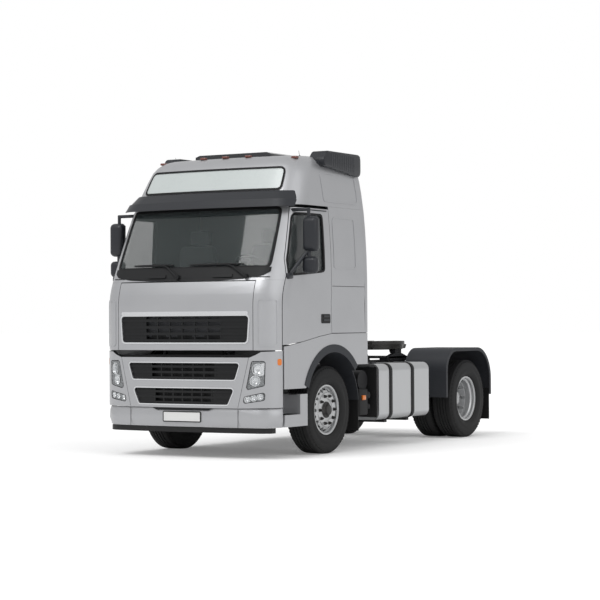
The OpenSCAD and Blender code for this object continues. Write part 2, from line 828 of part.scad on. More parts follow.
module air_intake() {
  y0 = front_axle_y - 100;
  y1 = cab_back_y - 10;
  color("#1f2124")
    difference() {
      along_x([905, 1170])
        polygon([[y0 + 120, 3600], [y0 + 50, 3570], [y0, 3510], [y0 + 10, 3450], [y0 + 60, 3425],
          [y1, 3325], [y1, 3610], [y0 + 300, 3612]]);
      along_y([y0 - 50, y1 + 50])
        back_shape(-0.5, 3000);
      box([800, 1300], [y0 - 50, y1 + 50], [3000, 3300]);
    }
}
module roof_hatch() {
  y = front_axle_y + 60;
  color("#141516")
    translate([0, y, 0])
      along_y([-330, 330])
        polygon([[-540, roof_top + 0.5], [540, roof_top + 0.5], [540, 3585], [480, 3606], [-480, 3606], [-540, 3585]]);
}
dash_y = front_axle_y - 780;
module dash_outline(grow = 0) {
  polygon([
    [dash_y - 305, floor_z + 420], [dash_y - 80, floor_z + 250], [dash_y + 60 + grow, floor_z + 380],
    [dash_y + 40 + grow, floor_z + 640 + grow], [dash_y - 90, floor_z + 680 + grow],
    [dash_y - 305, floor_z + 680 + grow]
  ]);
}
module dashboard() {
  color("#3b3e42")
    {
      along_x([-1050, 1050])
        dash_outline();
      both_sides()
        box([300, 360], [cab_y + wall_t + 41.5, dash_y - 304], [floor_z + 425, floor_z + 464]);
    }
}
driver_x = 520;
module steering_wheel() {
  color("#202123")
    difference() {
      translate([driver_x, dash_y + 165, floor_z + 790])
        rotate([-35, 0, 0]) {
          rotate_extrude()
            translate([215, 0]) circle(16);
          cylinder(h = 30, r = 60, center = true);
          translate([-212, -18, -12]) cube([424, 36, 20]);
          translate([0, 0, -250]) cylinder(h = 250, r = 28);
        }
      along_x([driver_x - 100, driver_x + 100])
        dash_outline(0.4);
    }
}
seat_y = front_axle_y - 420;
module seat_bases() {
  color("#2b2d30")
    for (x = [-driver_x, driver_x]) {
      box([x - 190, x + 190], [seat_y - 190, seat_y + 230], [floor_z + 0.5, floor_z + 330]);
      box([x - 180, x + 180], [seat_y + 230.5, seat_y + 262], [floor_z + 300, floor_z + 700]);
      box([x - 180, x + 180], [seat_y + 180, seat_y + 262], [floor_z + 270, floor_z + 329]);
    }
}
module seats() {
  color("#53575c")
    for (x = [-driver_x, driver_x]) {
      box([x - 260, x + 260], [seat_y - 260, seat_y + 225], [floor_z + 330.3, floor_z + 460]);
      along_x([x - 250, x + 250])
        polygon([[seat_y + 110, floor_z + 460.5], [seat_y + 230, floor_z + 460.5],
          [seat_y + 230, floor_z + 800], [seat_y + 290, floor_z + 1080], [seat_y + 180, floor_z + 1080]]);
      box([x - 140, x + 140], [seat_y + 190, seat_y + 285], [floor_z + 1080.5, floor_z + 1260]);
    }
}
bunk_y = [front_axle_y + 90, cab_back_y - wall_t - 4];
module bunk_base() {
  color("#55585c")
    box([-1150, 1150], bunk_y, [floor_z + 0.5, floor_z + 520]);
}
module mattress() {
  color("#7d8288")
    box([-1120, 1120], [bunk_y[0] + 5, bunk_y[1] - 5], [floor_z + 520.3, floor_z + 640]);
}

// ---------------------------------------------------------------- lid and doors
lid_t = 25;
UPPER_GRILLE = [1336, 1697, 855, 882];
module front_lid() {
  cols = bow_lines(lid_a, 3);
  color("#a9acb0") {
    skin(cols, [lid_bottom, 1900, lid_top], 0, lid_t);
    intersection() {
      plan_wall(-8, 0.5, UPPER_GRILLE[0], UPPER_GRILLE[1], corner_y - corner_r);
      along_y([cab_y - 50, corner_y])
        grille_shape(UPPER_GRILLE);
    }
  }
}
// Edges of the door's panels from front to back; the two middle ones stand below the
// bends of the sill line
function side_share(k) = function(z) 90 + k * (angle_at(front_axle_y + window_back, z) - 90);
function sill_share(i) = (SILL[i][0] + front_axle_y - corner_y) / (window_back + front_axle_y - corner_y);
door_cols = [
  along(PILLAR, seam_a), along(QUARTER), at_angle(80), at_angle(90), side_share(sill_share(1)),
  side_share(sill_share(2)), at_y(window_back), at_y(door_back)
];
window_top = 2838;
// Ahead of this place the door's bottom stays level, so that its inner edge swings clear
sill_turn = -1035;
door_sill = [
  for (i = [0:len(door_cols) - 1])
    [i, lookup(max(sill_turn, outline(door_cols[i](1300), 0).y - front_axle_y), SILL)]
];
// Bottom line of the door's window, as [column, height]
WINDOW_BOTTOM = [[0, 2096], [1, 2110], [2, 2108], [3, 2106], [4, 2126], [5, 2150], [6, 2165], [7, 2165]];
glass_gap = 0.5;
module door() {
  last = len(door_cols) - 2;
  glass_cols = concat([along(QUARTER, 0.6)], [for (i = [2:last - 1]) door_cols[i]],
    [at_y(window_back - glass_gap)]);
  color("#a9acb0")
    skin(door_cols, [door_sill, 1700, WINDOW_BOTTOM, 2400, 2685, window_top, door_top - seam], 0, door_t,
      [[1, last, 2, 5]]);
  color("#9fb4b8", 0.4)
    skin(glass_cols,
      [[for (i = [1:last]) [i - 1, WINDOW_BOTTOM[i][1] + glass_gap]], 2400, 2685, window_top - glass_gap],
      25, 31);
}
// Mirror housings, as [bottom, top, inner, outer, depth]
HOUSINGS = [[2375, 2790, 1272, 1472, 120], [2125, 2325, 1268, 1468, 110]];
mirror_y = front_axle_y - 810;
module strut(p, q, r) {
  v = q - p;
  translate(p)
    rotate([0, acos(v.z / norm(v)), atan2(v.y, v.x)])
      cylinder(h = norm(v), r = r);
}
module door_mirror() {
  mid_y = mirror_y + 60;
  color("#1e2023")
    difference() {
      union() {
        for (h = HOUSINGS)
          along_y([mirror_y, mirror_y + h[4]])
            rounded([h[2], h[3]], [h[0], h[1]], 40);
        rod_z(1350, mid_y, [HOUSINGS[1][1] - 5, HOUSINGS[0][0] + 5], 18);
        strut([1120, mid_y, 2868], [1345, mid_y, 2868], 17);
        rod_z(1345, mid_y, [HOUSINGS[0][1] - 5, 2884], 17);
        strut([1200, front_axle_y - 980, 2090], [1335, mid_y, 2395], 18);
      }
      skin(door_cols, [2000, 2100, 2400, 2685, window_top, door_top - seam], -0.4, door_t + 60);
    }
}
module door_left() {
  door();
  door_mirror();
}
module door_right() {
  mirror([1, 0, 0]) door_left();
}

// ---------------------------------------------------------------- steering
knuckle_gap = 0.5;
arm_z = axle_z - 96;
module knuckle() {
  ear = 38;
  top = axle_z + 55 + knuckle_gap;
  low = axle_z - 55 - knuckle_gap;
  color("#34363a")
    translate([kingpin_x, front_axle_y, 0]) {
      rod_z(0, 0, [low - ear, top + ear], kingpin_r);
      for (z = [low - ear, top]) {
        rod_z(0, 0, [z, z + ear], 44);
        box([0, 70], [-44, 44], [z, z + ear]);
      }
      box([44, 70], [-60, 60], [low - ear, top + ear]);
      rod_x([69, front_track + 70 - kingpin_x], 0, axle_z, spindle_r);
      box([-20, 20], [0, steer_arm], [low - ear, low - ear + 22]);
      rod_z(0, steer_arm, [low - ear, low - ear + 22], 26);
      rod_z(0, steer_arm, [low - ear - 38, low - ear + 1], 11);
    }
}
module knuckle_left() {
  knuckle();
}
module knuckle_right() {
  mirror([1, 0, 0]) knuckle();
}
module track_rod() {
  z1 = axle_z - 55 - knuckle_gap - 38 - 0.5;
  z0 = z1 - 30;
  y = front_axle_y + steer_arm;
  color("#34363a")
    difference() {
      union() {
        rod_x([30 - kingpin_x, kingpin_x - 30], y, (z0 + z1) / 2, 15);
        both_sides()
          rod_z(kingpin_x, y, [z0, z1], 24);
        both_sides()
          rod_x([kingpin_x - 60, kingpin_x - 15], y, (z0 + z1) / 2, 15);
      }
      rod_z(kingpin_x, y, [z0 - 1, z1 + 1], 11 + running);
      rod_z(-kingpin_x, y, [z0 - 1, z1 + 1], 12);
    }
}

// ---------------------------------------------------------------- wheels
// Wheels are turned about Z, outer side up, then laid on their axle
bead_r = rim_r - 13;
tyre_seat = 0.3;
module tyre() {
  w = tyre_w / 2;
  b = rim_half_w - 14;
  rotate_extrude($fn = 96)
    polygon(concat(
      [[bead_r + tyre_seat, -b], [rim_r + 4, -b - 3], [rim_r + 30, -w + 14], [rim_r + 90, -w],
       [rim_r + 150, -w + 2], [tyre_r - 24, -w + 16], [tyre_r - 8, -w + 28], [tyre_r, -w + 48]],
      [[tyre_r, w - 48], [tyre_r - 8, w - 28], [tyre_r - 24, w - 16], [rim_r + 150, w - 2],
       [rim_r + 90, w], [rim_r + 30, w - 14], [rim_r + 4, b + 3], [bead_r + tyre_seat, b]],
      [[bead_r + tyre_seat, b - 26], [rim_r + 60, w - 18], [tyre_r - 60, w - 26], [tyre_r - 28, w - 60]],
      [[tyre_r - 28, -w + 60], [tyre_r - 60, -w + 26], [rim_r + 60, -w + 18], [bead_r + tyre_seat, -b + 26]]
    ));
}
module rim_barrel() {
  h = rim_half_w;
  well = rim_r - 32;
  rotate_extrude($fn = 96)
    polygon([
      [bead_r - 5, -h], [rim_r, -h], [rim_r, -h + 9], [bead_r, -h + 13], [bead_r, -h + 42], [well, -h + 60],
      [well, h - 60], [bead_r, h - 42], [bead_r, h - 13], [rim_r, h - 9], [rim_r, h], [bead_r - 5, h],
      [bead_r - 12, h - 12], [bead_r - 12, h - 46], [well - 11, h - 62], [well - 11, -h + 62],
      [bead_r - 12, -h + 46], [bead_r - 12, -h + 12]
    ]);
}
// Dished disc from the well to the mating face, which lies at height f
module rim_disc(f, bore) {
  well = rim_r - 32;
  s = sign(f);
  difference() {
    rotate_extrude($fn = 96)
      polygon([
        [well - 2, s * 22], [well - 2, s * 48], [well - 34, f - s * 12], [205, f], [bore, f],
        [bore, f - s * 13], [200, f - s * 13], [well - 48, f - s * 30], [well - 20, s * 22]
      ]);
    for (k = [0:9])
      rotate([0, 0, 36 * k + 18])
        translate([well - 34, 0, min(0, f)])
          cylinder(h = abs(f) + 1, r = 20);
  }
}
disc_r = 215;
module front_rim() {
  hub_r = 92;
  color("#b6babd") {
    rim_barrel();
    rim_disc(front_offset, 60);
    difference() {
      union() {
        translate([0, 0, -26]) cylinder(h = front_offset + 14, r = hub_r);
        translate([0, 0, front_offset - 20]) cylinder(h = 38, r = 66);
        translate([0, 0, -22]) cylinder(h = 30, r = disc_r);
      }
      translate([0, 0, -27]) cylinder(h = 103, r = spindle_r + running);
    }
  }
}
module rear_rims() {
  color("#b6babd") {
    translate([0, 0, twin_offset]) {
      rim_barrel();
      rim_disc(-twin_offset, 60);
    }
    translate([0, 0, -twin_offset]) {
      rim_barrel();
      rim_disc(twin_offset, 60);
    }
    difference() {
      union() {
        translate([0, 0, -250]) cylinder(h = 180, r = 205);
        translate([0, 0, -75]) cylinder(h = 155, r = 95);
        translate([0, 0, 75]) cylinder(h = 70, r = 80);
      }
      translate([0, 0, -251]) cylinder(h = 251 + 90, r = rear_spindle_r + running);
      translate([0, 0, -251]) cylinder(h = 120, r = 190);
    }
  }
}
module on_front_axle() {
  translate([front_track, front_axle_y, axle_z])
    rotate([0, 90, 0]) children();
}
module on_rear_axle() {
  translate([twin_face, rear_axle_y, axle_z])
    rotate([0, 90, 0]) children();
}
module front_tyre_left() {
  color("#1c1c1d")
    on_front_axle() tyre();
}
module front_rim_left() {
  on_front_axle() front_rim();
}
module front_tyre_right() {
  mirror([1, 0, 0]) front_tyre_left();
}
module front_rim_right() {
  mirror([1, 0, 0]) front_rim_left();
}
module rear_tyres_left() {
  color("#1c1c1d")
    on_rear_axle()
      for (s = [-1, 1])
        translate([0, 0, s * twin_offset]) tyre();
}
module rear_rims_left() {
  on_rear_axle() rear_rims();
}
module rear_tyres_right() {
  mirror([1, 0, 0]) rear_tyres_left();
}
module rear_rims_right() {
  mirror([1, 0, 0]) rear_rims_left();
}

frame_rails();
crossmembers();
cab_mounts();
driveline();
radiator();
front_axle();
springs();
rear_axle();
air_bellows();
fuel_tank();
side_boxes();
box_brackets();
air_tanks();
bumper();
bumper_lower();
bumper_lip();
lower_grilles();
headlamps();
steps();
side_panels();
wheel_arches();
mudflaps();
rear_guards();
deck_plate();
coupling_base();
tail_lamps();
cab_floor();
cab_front();
windscreen();
cab_sides();
cab_back();
roof();
sun_visor();
roof_sign();
air_intake();
dashboard();
steering_wheel();
seat_bases();
seats();
bunk_base();
mattress();
front_lid();
roof_hatch();
door_left();
door_right();
coupling_plate();
knuckle_left();
knuckle_right();
track_rod();
front_tyre_left();
front_rim_left();
front_tyre_right();
front_rim_right();
rear_tyres_left();
rear_rims_left();
rear_tyres_right();
rear_rims_right();
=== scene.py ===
"""Semi truck tractor unit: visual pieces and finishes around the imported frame. Metres, Z up.

The front faces -Y and the left side is +X. The cab's panels lie on one bent skin: a place
on it is a run (distance along the skin from the middle of the front) and a height.
"""

import math

import bmesh
import bpy
from mathutils import Matrix, Vector


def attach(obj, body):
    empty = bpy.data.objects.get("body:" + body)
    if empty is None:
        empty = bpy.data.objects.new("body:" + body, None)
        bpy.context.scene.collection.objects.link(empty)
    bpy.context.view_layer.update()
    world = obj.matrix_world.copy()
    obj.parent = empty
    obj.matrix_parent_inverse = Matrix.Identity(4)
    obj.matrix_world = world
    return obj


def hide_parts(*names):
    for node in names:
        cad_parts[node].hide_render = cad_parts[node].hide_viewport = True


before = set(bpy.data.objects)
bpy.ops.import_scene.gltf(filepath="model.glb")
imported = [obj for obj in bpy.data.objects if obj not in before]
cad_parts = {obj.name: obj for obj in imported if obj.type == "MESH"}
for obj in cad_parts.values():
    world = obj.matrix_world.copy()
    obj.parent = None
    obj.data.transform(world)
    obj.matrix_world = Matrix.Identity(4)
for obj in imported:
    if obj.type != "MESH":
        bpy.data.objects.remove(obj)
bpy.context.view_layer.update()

# Camera
CAMERA_PLACE = (12.642, -21.407, 1.569)
CAMERA_TURN = 30.8
CAMERA_RISE = 0.65
CAMERA_ROLL = -0.33
CAMERA_LENS = 115.84

# Layout, as in the frame
FRONT_AXLE_Y = -1.5
REAR_AXLE_Y = 2.2
AXLE_Z = 0.522
TYRE_R = 0.522
TYRE_HALF = 0.1525
RIM_R = 0.298
RIM_HALF = 0.114
FRONT_TRACK = 1.02
FRONT_FACE = 0.108
TWIN_FACE = 0.895
TWIN_OFFSET = 0.165
CAB_BACK_Y = FRONT_AXLE_Y + 0.83
FLOOR_Z = 1.435
REAR_BAR_Y = 2.7805
FRAME_BOTTOM = 0.76
SEAM = 0.006
COUPLING_Y = REAR_AXLE_Y - 0.57
INTAKE_Y = FRONT_AXLE_Y - 0.1
MIRROR_Y = FRONT_AXLE_Y - 0.81
TANK_Y = FRONT_AXLE_Y + 1.19
BOLT_R = 0.168

# Cab skin
CAB_HALF = 1.24
CORNER_R = 0.34
BOW_R = 8.0
CAB_Y = -2.885
BUMPER_LEAD = 0.0065
CORNER_X = CAB_HALF - CORNER_R
BOW_ANGLE = math.asin(CORNER_X / (BOW_R - CORNER_R))
BOW_X = BOW_R * math.sin(BOW_ANGLE)
CORNER_Y = CAB_Y + BOW_X**2 / (2 * BOW_R) + CORNER_R * math.cos(BOW_ANGLE)
SIDE_RUN = BOW_X + CORNER_R * (math.pi / 2 - BOW_ANGLE)
# Share of the half width, by height
NARROWING = [(0, 1), (2.1, 1), (2.4, 0.9935), (2.685, 0.9806), (2.9, 0.9653), (3.13, 0.9395),
             (3.28, 0.9169), (3.4, 0.8911), (3.48, 0.8548), (3.53, 0.8065), (3.555, 0.7258)]
# Distance back of the front, by height
LEAN = [(0, 0), (1.9, 0), (2.9, 0.457), (3.4, 0.742), (3.46, 0.795), (3.51, 0.87), (3.54, 0.96),
        (3.555, 1.1)]
LEAN_SLOPE = 0.457
LEAN_BEND = (1.75, 2.05)
# Panel lines
LID_BOTTOM, LID_TOP = 1.248, 2.04
COWL_BOTTOM = 2.05
GLASS_BOTTOM, GLASS_TOP = 2.19, 2.905
SKIN_TOP, ROOF_BOTTOM, ROOF_TOP = 2.93, 2.936, 3.555
DOOR_TOP = 2.9
DOOR_BOTTOM = 1.306
DOOR_FOOT_BACK = 1.4326
DOOR_BACK = -0.05
WINDOW_BACK = -0.195
SILL = [(-1.16, 1.287), (-0.724, 1.343), (-0.326, 1.402), (-0.043, 1.433), (0.9, 1.435)]
PILLAR = [(1.2, 66), (2.1, 66), (2.3, 53.5), (2.86, 45), (2.94, 44)]
QUARTER = [(2.09, 72), (2.283, 58.7), (2.85, 50), (2.86, 50)]
SCREEN_ANGLE = 31
BUMPER_TOP, BUMPER_SPLIT = 1.166, 0.583

# Mesh fineness
RUN_STEP = 0.035
HEIGHT_STEP = 0.09


# --- skin of the cab
def lookup(table, x):
    if x <= table[0][0]:
        return table[0][1]
    for (x0, y0), (x1, y1) in zip(table, table[1:]):
        if x <= x1:
            return y0 + (y1 - y0) * (x - x0) / (x1 - x0)
    return table[-1][1]


def lean(z):
    """Distance back of the front at a height; it starts with a soft bend."""
    low, high = LEAN_BEND
    if low < z < high:
        return LEAN_SLOPE * (z - low) ** 2 / (2 * (high - low))
    return lookup(LEAN, z)


def skin_point(run, z, depth=0.0, lead=0.0):
    side, r = math.copysign(1, run), abs(run)
    if r <= BOW_X:
        x, y = r * (1 - depth / BOW_R), CAB_Y + r * r / (2 * BOW_R) + depth
    elif r <= SIDE_RUN:
        a = BOW_ANGLE + (r - BOW_X) / CORNER_R
        x = CORNER_X + (CORNER_R - depth) * math.sin(a)
        y = CORNER_Y - (CORNER_R - depth) * math.cos(a)
    else:
        x, y = CAB_HALF - depth, CORNER_Y + r - SIDE_RUN
    return Vector((side * x * lookup(NARROWING, z), y + lean(z) - lead, z))


def run_at_angle(angle):
    return BOW_X + CORNER_R * (math.radians(angle) - BOW_ANGLE)


def run_at_x(x):
    """Run of the place at half width x, below the narrowing."""
    side, r = math.copysign(1, x), abs(x)
    if r > BOW_X:
        r = BOW_X + CORNER_R * (math.asin(min(1, (r - CORNER_X) / CORNER_R)) - BOW_ANGLE)
    return side * r


def run_at_y(y, z):
    """Run of the place at distance y along the vehicle, at height z."""
    ahead = CORNER_Y + lean(z) - y
    if ahead <= 0:
        return SIDE_RUN - ahead
    return BOW_X + CORNER_R * (math.acos(min(1, ahead / CORNER_R)) - BOW_ANGLE)


def edge(line, start, end):
    """Points of a panel edge between two heights; line gives the run at a height."""
    heights = sorted({start, end, *(z for z, _ in NARROWING + LEAN + PILLAR + QUARTER
                                    if min(start, end) < z < max(start, end))})
    if start > end:
        heights.reverse()
    return [(line(z), z) for z in heights]


def along(table, shift=0.0):
    return lambda z: run_at_angle(lookup(table, z)) + shift


def at_y(y):
    return lambda z: run_at_y(y, z)


def at_run(run):
    return lambda z: run


def side_patch(y0, y1, z0, z1):
    """Outline of a patch on the cab's side, by its places along the vehicle and its heights."""
    return edge(at_y(y1), z0, z1) + edge(at_y(y0), z1, z0)


def about(middle, half):
    return middle - half, middle + half


def box_outline(run0, run1, z0, z1):
    return [(run0, z0), (run1, z0), (run1, z1), (run0, z1)]


def mirrored(points):
    return [(-r, z) for r, z in reversed(points)]


def both(points):
    """A right half outline, from the middle's bottom to its top, and its mirror image."""
    return points + mirrored(points)


def pair(points):
    """An outline and its mirror image."""
    return points, mirrored(points)


def corners(points):
    """Each corner of a closed outline, between the one before it and the one after."""
    for i, p in enumerate(points):
        yield Vector(points[i - 1]), Vector(p), Vector(points[(i + 1) % len(points)])


def fillet(points, radius, steps=5):
    """The outline with its sharp corners rounded."""
    made = []
    for a, b, c in corners(points):
        back, on = a - b, c - b
        if back.length < 1e-6 or on.length < 1e-6:
            continue
        turn = back.angle(on)
        if turn > math.radians(150):
            made.append(tuple(b))
            continue
        cut = min(radius / math.tan(turn / 2), 0.45 * back.length, 0.45 * on.length)
        r = cut * math.tan(turn / 2)
        start = b + back.normalized() * cut
        middle = b + (back.normalized() + on.normalized()).normalized() * math.hypot(cut, r)
        spoke = start - middle
        sweep = (math.pi - turn) * math.copysign(1, back.x * on.y - back.y * on.x) * -1
        for k in range(steps + 1):
            a = sweep * k / steps
            made.append((middle.x + spoke.x * math.cos(a) - spoke.y * math.sin(a),
                         middle.y + spoke.x * math.sin(a) + spoke.y * math.cos(a)))
    return made


def grown(points, by):
    """The outline moved outwards by a distance; it runs anticlockwise."""
    made = []
    for a, b, c in corners(points):
        d0, d1 = b - a, c - b
        if d0.length < 1e-9 or d1.length < 1e-9:
            made.append(tuple(b))
            continue
        n0 = Vector((d0.y, -d0.x)).normalized()
        n1 = Vector((d1.y, -d1.x)).normalized()
        m = (n0 + n1).normalized()
        made.append(tuple(b + m * by / max(0.5, m.dot(n0))))
    return made


# --- finishes
def new_material(name):
    m = bpy.data.materials.new(name)
    m.use_nodes = True
    return m, m.node_tree.nodes, m.node_tree.links, m.node_tree.nodes["Principled BSDF"]


def add_node(nodes, kind, **inputs):
    """A shader node with values on its sockets; an underscore stands for a space."""
    made = nodes.new("ShaderNode" + kind)
    for name, value in inputs.items():
        made.inputs[name.replace("_", " ")].default_value = value
    return made


def calculated(nodes, links, operation, first, second):
    """A sum, product or greater value; second is a socket or a number."""
    made = nodes.new("ShaderNodeMath")
    made.operation = operation
    links.new(first, made.inputs[0])
    if isinstance(second, float):
        made.inputs[1].default_value = second
    else:
        links.new(second, made.inputs[1])
    return made


def add_relief(nodes, links, height, shader, strength, distance):
    relief = add_node(nodes, "Bump", Strength=strength, Distance=distance)
    links.new(height, relief.inputs["Height"])
    links.new(relief.outputs["Normal"], shader.inputs["Normal"])


def set_ramp(ramp, low, high):
    for element, colour in zip(ramp.color_ramp.elements, (low, high)):
        element.color = (*colour, 1)


def finish(name, colour, shade=None, metallic=0.0, roughness=0.5, spread=0.06, grain=40.0,
           bump=0.02, coat=0.0, stretch=(1, 1, 1), dust=0.0, sheen=0.5):
    """A surface whose tone and roughness vary with a noise, with a fine bump over it."""
    m, nodes, links, shader = new_material(name)
    place = add_node(nodes, "TexCoord").outputs["Object"]
    scale = add_node(nodes, "Mapping", Scale=stretch)
    links.new(place, scale.inputs["Vector"])
    broad = add_node(nodes, "TexNoise", Scale=2.2, Detail=6)
    fine = add_node(nodes, "TexNoise", Scale=grain, Detail=3)
    for t in (broad, fine):
        links.new(scale.outputs["Vector"], t.inputs["Vector"])
    tone = add_node(nodes, "ValToRGB")
    set_ramp(tone, shade or [c * 0.86 for c in colour], colour)
    tone.color_ramp.elements[0].position = 0.35
    tone.color_ramp.elements[1].position = 0.65
    mixed = calculated(nodes, links, "ADD", broad.outputs["Fac"], fine.outputs["Fac"])
    mixed.use_clamp = True
    half = calculated(nodes, links, "MULTIPLY", mixed.outputs[0], 0.5)
    links.new(half.outputs[0], tone.inputs["Fac"])
    surface_colour = tone.outputs["Color"]
    if dust:
        height = add_node(nodes, "SeparateXYZ")
        links.new(place, height.inputs[0])
        low = add_node(nodes, "MapRange", From_Min=1.1, From_Max=0.1, To_Max=dust)
        links.new(height.outputs["Z"], low.inputs["Value"])
        settle = calculated(nodes, links, "MULTIPLY", low.outputs["Result"],
                            broad.outputs["Fac"])
        dirt = nodes.new("ShaderNodeMix")
        dirt.data_type = "RGBA"
        dirt.inputs["B"].default_value = (0.2, 0.185, 0.165, 1)
        links.new(settle.outputs[0], dirt.inputs["Factor"])
        links.new(surface_colour, dirt.inputs["A"])
        surface_colour = dirt.outputs["Result"]
    links.new(surface_colour, shader.inputs["Base Color"])
    rough = add_node(nodes, "MapRange", To_Min=max(0.02, roughness - spread),
                     To_Max=min(1.0, roughness + spread))
    links.new(broad.outputs["Fac"], rough.inputs["Value"])
    links.new(rough.outputs["Result"], shader.inputs["Roughness"])
    if bump:
        add_relief(nodes, links, fine.outputs["Fac"], shader, bump, 0.002)
    shader.inputs["Metallic"].default_value = metallic
    if coat:
        shader.inputs["Coat Weight"].default_value = coat
        shader.inputs["Coat Roughness"].default_value = 0.06
    shader.inputs["Specular IOR Level"].default_value = sheen
    return m


def glass(name, tint, alpha):
    """Clear or tinted glass as a thin see-through sheet with a faint wash of dust."""
    m, nodes, links, shader = new_material(name)
    haze = add_node(nodes, "TexNoise", Scale=3, Detail=5)
    links.new(add_node(nodes, "TexCoord").outputs["Object"], haze.inputs["Vector"])
    for socket, low, high in (("Alpha", alpha - 0.04, alpha + 0.04), ("Roughness", 0.03, 0.06)):
        reach = add_node(nodes, "MapRange", To_Min=low, To_Max=high)
        links.new(haze.outputs["Fac"], reach.inputs["Value"])
        links.new(reach.outputs["Result"], shader.inputs[socket])
    shader.inputs["Base Color"].default_value = (*tint, 1)
    shader.inputs["Coat Weight"].default_value = 1
    shader.inputs["Coat Roughness"].default_value = 0.01
    return m


def cloth(name, colour):
    """Woven cloth: two crossed bands of threads."""
    m, nodes, links, shader = new_material(name)
    place = add_node(nodes, "TexCoord").outputs["Object"]
    weave, cross = (add_node(nodes, "TexWave", Scale=260.0, Distortion=1.5) for _ in range(2))
    cross.bands_direction = "Z"
    for t in (weave, cross):
        links.new(place, t.inputs["Vector"])
    threads = calculated(nodes, links, "MAXIMUM", weave.outputs["Fac"], cross.outputs["Fac"])
    tone = add_node(nodes, "ValToRGB")
    set_ramp(tone, [c * 0.6 for c in colour], colour)
    links.new(threads.outputs[0], tone.inputs["Fac"])
    links.new(tone.outputs["Color"], shader.inputs["Base Color"])
    add_relief(nodes, links, threads.outputs[0], shader, 0.3, 0.001)
    shader.inputs["Roughness"].default_value = 0.9
    shader.inputs["Sheen Weight"].default_value = 0.3
    return m


PAINT = finish("silver_paint", (0.46, 0.465, 0.48), (0.41, 0.415, 0.43), metallic=0.6,
               roughness=0.4, grain=900, bump=0.01, coat=0.35, dust=0.1)
BRIGHT = finish("bright_silver", (0.78, 0.79, 0.81), metallic=0.85, roughness=0.22, grain=300,
                bump=0.01, coat=0.4)
CHARCOAL = finish("charcoal_plastic", (0.02, 0.022, 0.027), roughness=0.4, grain=500,
                  bump=0.03, coat=0.12, sheen=0.35)
BLACK = finish("black_plastic", (0.011, 0.0115, 0.0125), roughness=0.52, grain=700, bump=0.1,
               dust=0.06, sheen=0.25)
TRIM = finish("inner_trim", (0.06, 0.062, 0.068), roughness=0.75, grain=400, bump=0.15,
              sheen=0.3)
GUARD = finish("guard_plastic", (0.026, 0.029, 0.035), (0.019, 0.021, 0.026), roughness=0.55,
               grain=260, bump=0.15, dust=0.12, sheen=0.35)
RUBBER = finish("tyre_rubber", (0.0125, 0.013, 0.014), roughness=0.72, spread=0.08, grain=180,
                bump=0.15, dust=0.08, sheen=0.3)
SEAL = finish("seal_rubber", (0.008, 0.008, 0.009), roughness=0.6, grain=300, bump=0.06,
              sheen=0.25)
CHASSIS = finish("frame_black", (0.014, 0.015, 0.017), (0.009, 0.009, 0.011), roughness=0.6,
                 spread=0.12, grain=60, bump=0.08, dust=0.12, sheen=0.3)
STEEL = finish("coupling_steel", (0.03, 0.03, 0.032), (0.05, 0.047, 0.043), metallic=0.5,
               roughness=0.42, spread=0.16, grain=45, bump=0.12)
CASTING = finish("drive_grey", (0.12, 0.125, 0.13), metallic=0.3, roughness=0.6, spread=0.1,
                 grain=70, bump=0.2)
RIM = finish("rim_steel", (0.6, 0.61, 0.62), (0.5, 0.505, 0.51), metallic=0.6,
             roughness=0.36, grain=120, bump=0.05, dust=0.08)
TANK = finish("tank_aluminium", (0.6, 0.61, 0.62), (0.5, 0.51, 0.52), metallic=0.85,
              roughness=0.34, spread=0.1, grain=90, bump=0.06, stretch=(1, 14, 1), dust=0.1)
BOX = finish("box_grey", (0.3, 0.31, 0.32), metallic=0.5, roughness=0.45, spread=0.1, grain=90,
             bump=0.08, dust=0.3)
CHROME = finish("lamp_reflector", (0.8, 0.81, 0.82), metallic=1.0, roughness=0.1, spread=0.04,
                grain=20, bump=0.01)
HATCH = finish("hatch_dark", (0.02, 0.022, 0.025), metallic=0.1, roughness=0.14, spread=0.05,
               grain=80, bump=0.01, coat=0.6)
SIGN = finish("sign_panel", (0.52, 0.56, 0.55), (0.48, 0.52, 0.515), roughness=0.3,
              grain=30, bump=0.01, coat=0.3)
PLATE = finish("plate_white", (0.72, 0.72, 0.71), roughness=0.4, grain=200, bump=0.03)
ROOF_LENS = finish("roof_lamp_lens", (0.16, 0.045, 0.03), roughness=0.25, grain=120, bump=0.2,
                   coat=0.4)
AMBER = finish("amber_lens", (0.75, 0.19, 0.015), roughness=0.2, grain=120, bump=0.2, coat=0.5)
RED = finish("red_lens", (0.42, 0.015, 0.012), roughness=0.22, grain=120, bump=0.2, coat=0.5)
MIRROR = finish("mirror_glass", (0.75, 0.77, 0.78), metallic=1.0, roughness=0.04, spread=0.02,
                grain=8, bump=0.0)
SCREEN = glass("screen_glass", (0.05, 0.065, 0.065), 0.3)
DOOR_GLASS = glass("door_glass", (0.045, 0.055, 0.055), 0.42)
LENS = glass("lamp_clear", (0.7, 0.73, 0.75), 0.16)
SEAT_CLOTH = cloth("seat_cloth", (0.1, 0.105, 0.115))
BEDDING = cloth("bedding_cloth", (0.2, 0.21, 0.23))


# --- making pieces
def piece(name, bm, materials, body, slot_name, replaces=(), smooth=40):
    """Turns a bmesh into a finished piece that rides a body."""
    mesh = bpy.data.meshes.new(name)
    bm.to_mesh(mesh)
    bm.free()
    for m in materials if isinstance(materials, (list, tuple)) else [materials]:
        mesh.materials.append(m)
    if smooth:
        mesh.shade_smooth()
        mesh.set_sharp_from_angle(angle=math.radians(smooth))
    o = bpy.data.objects.new(name, mesh)
    bpy.context.scene.collection.objects.link(o)
    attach(o, body)
    if replaces:
        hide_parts(*replaces)
    return o


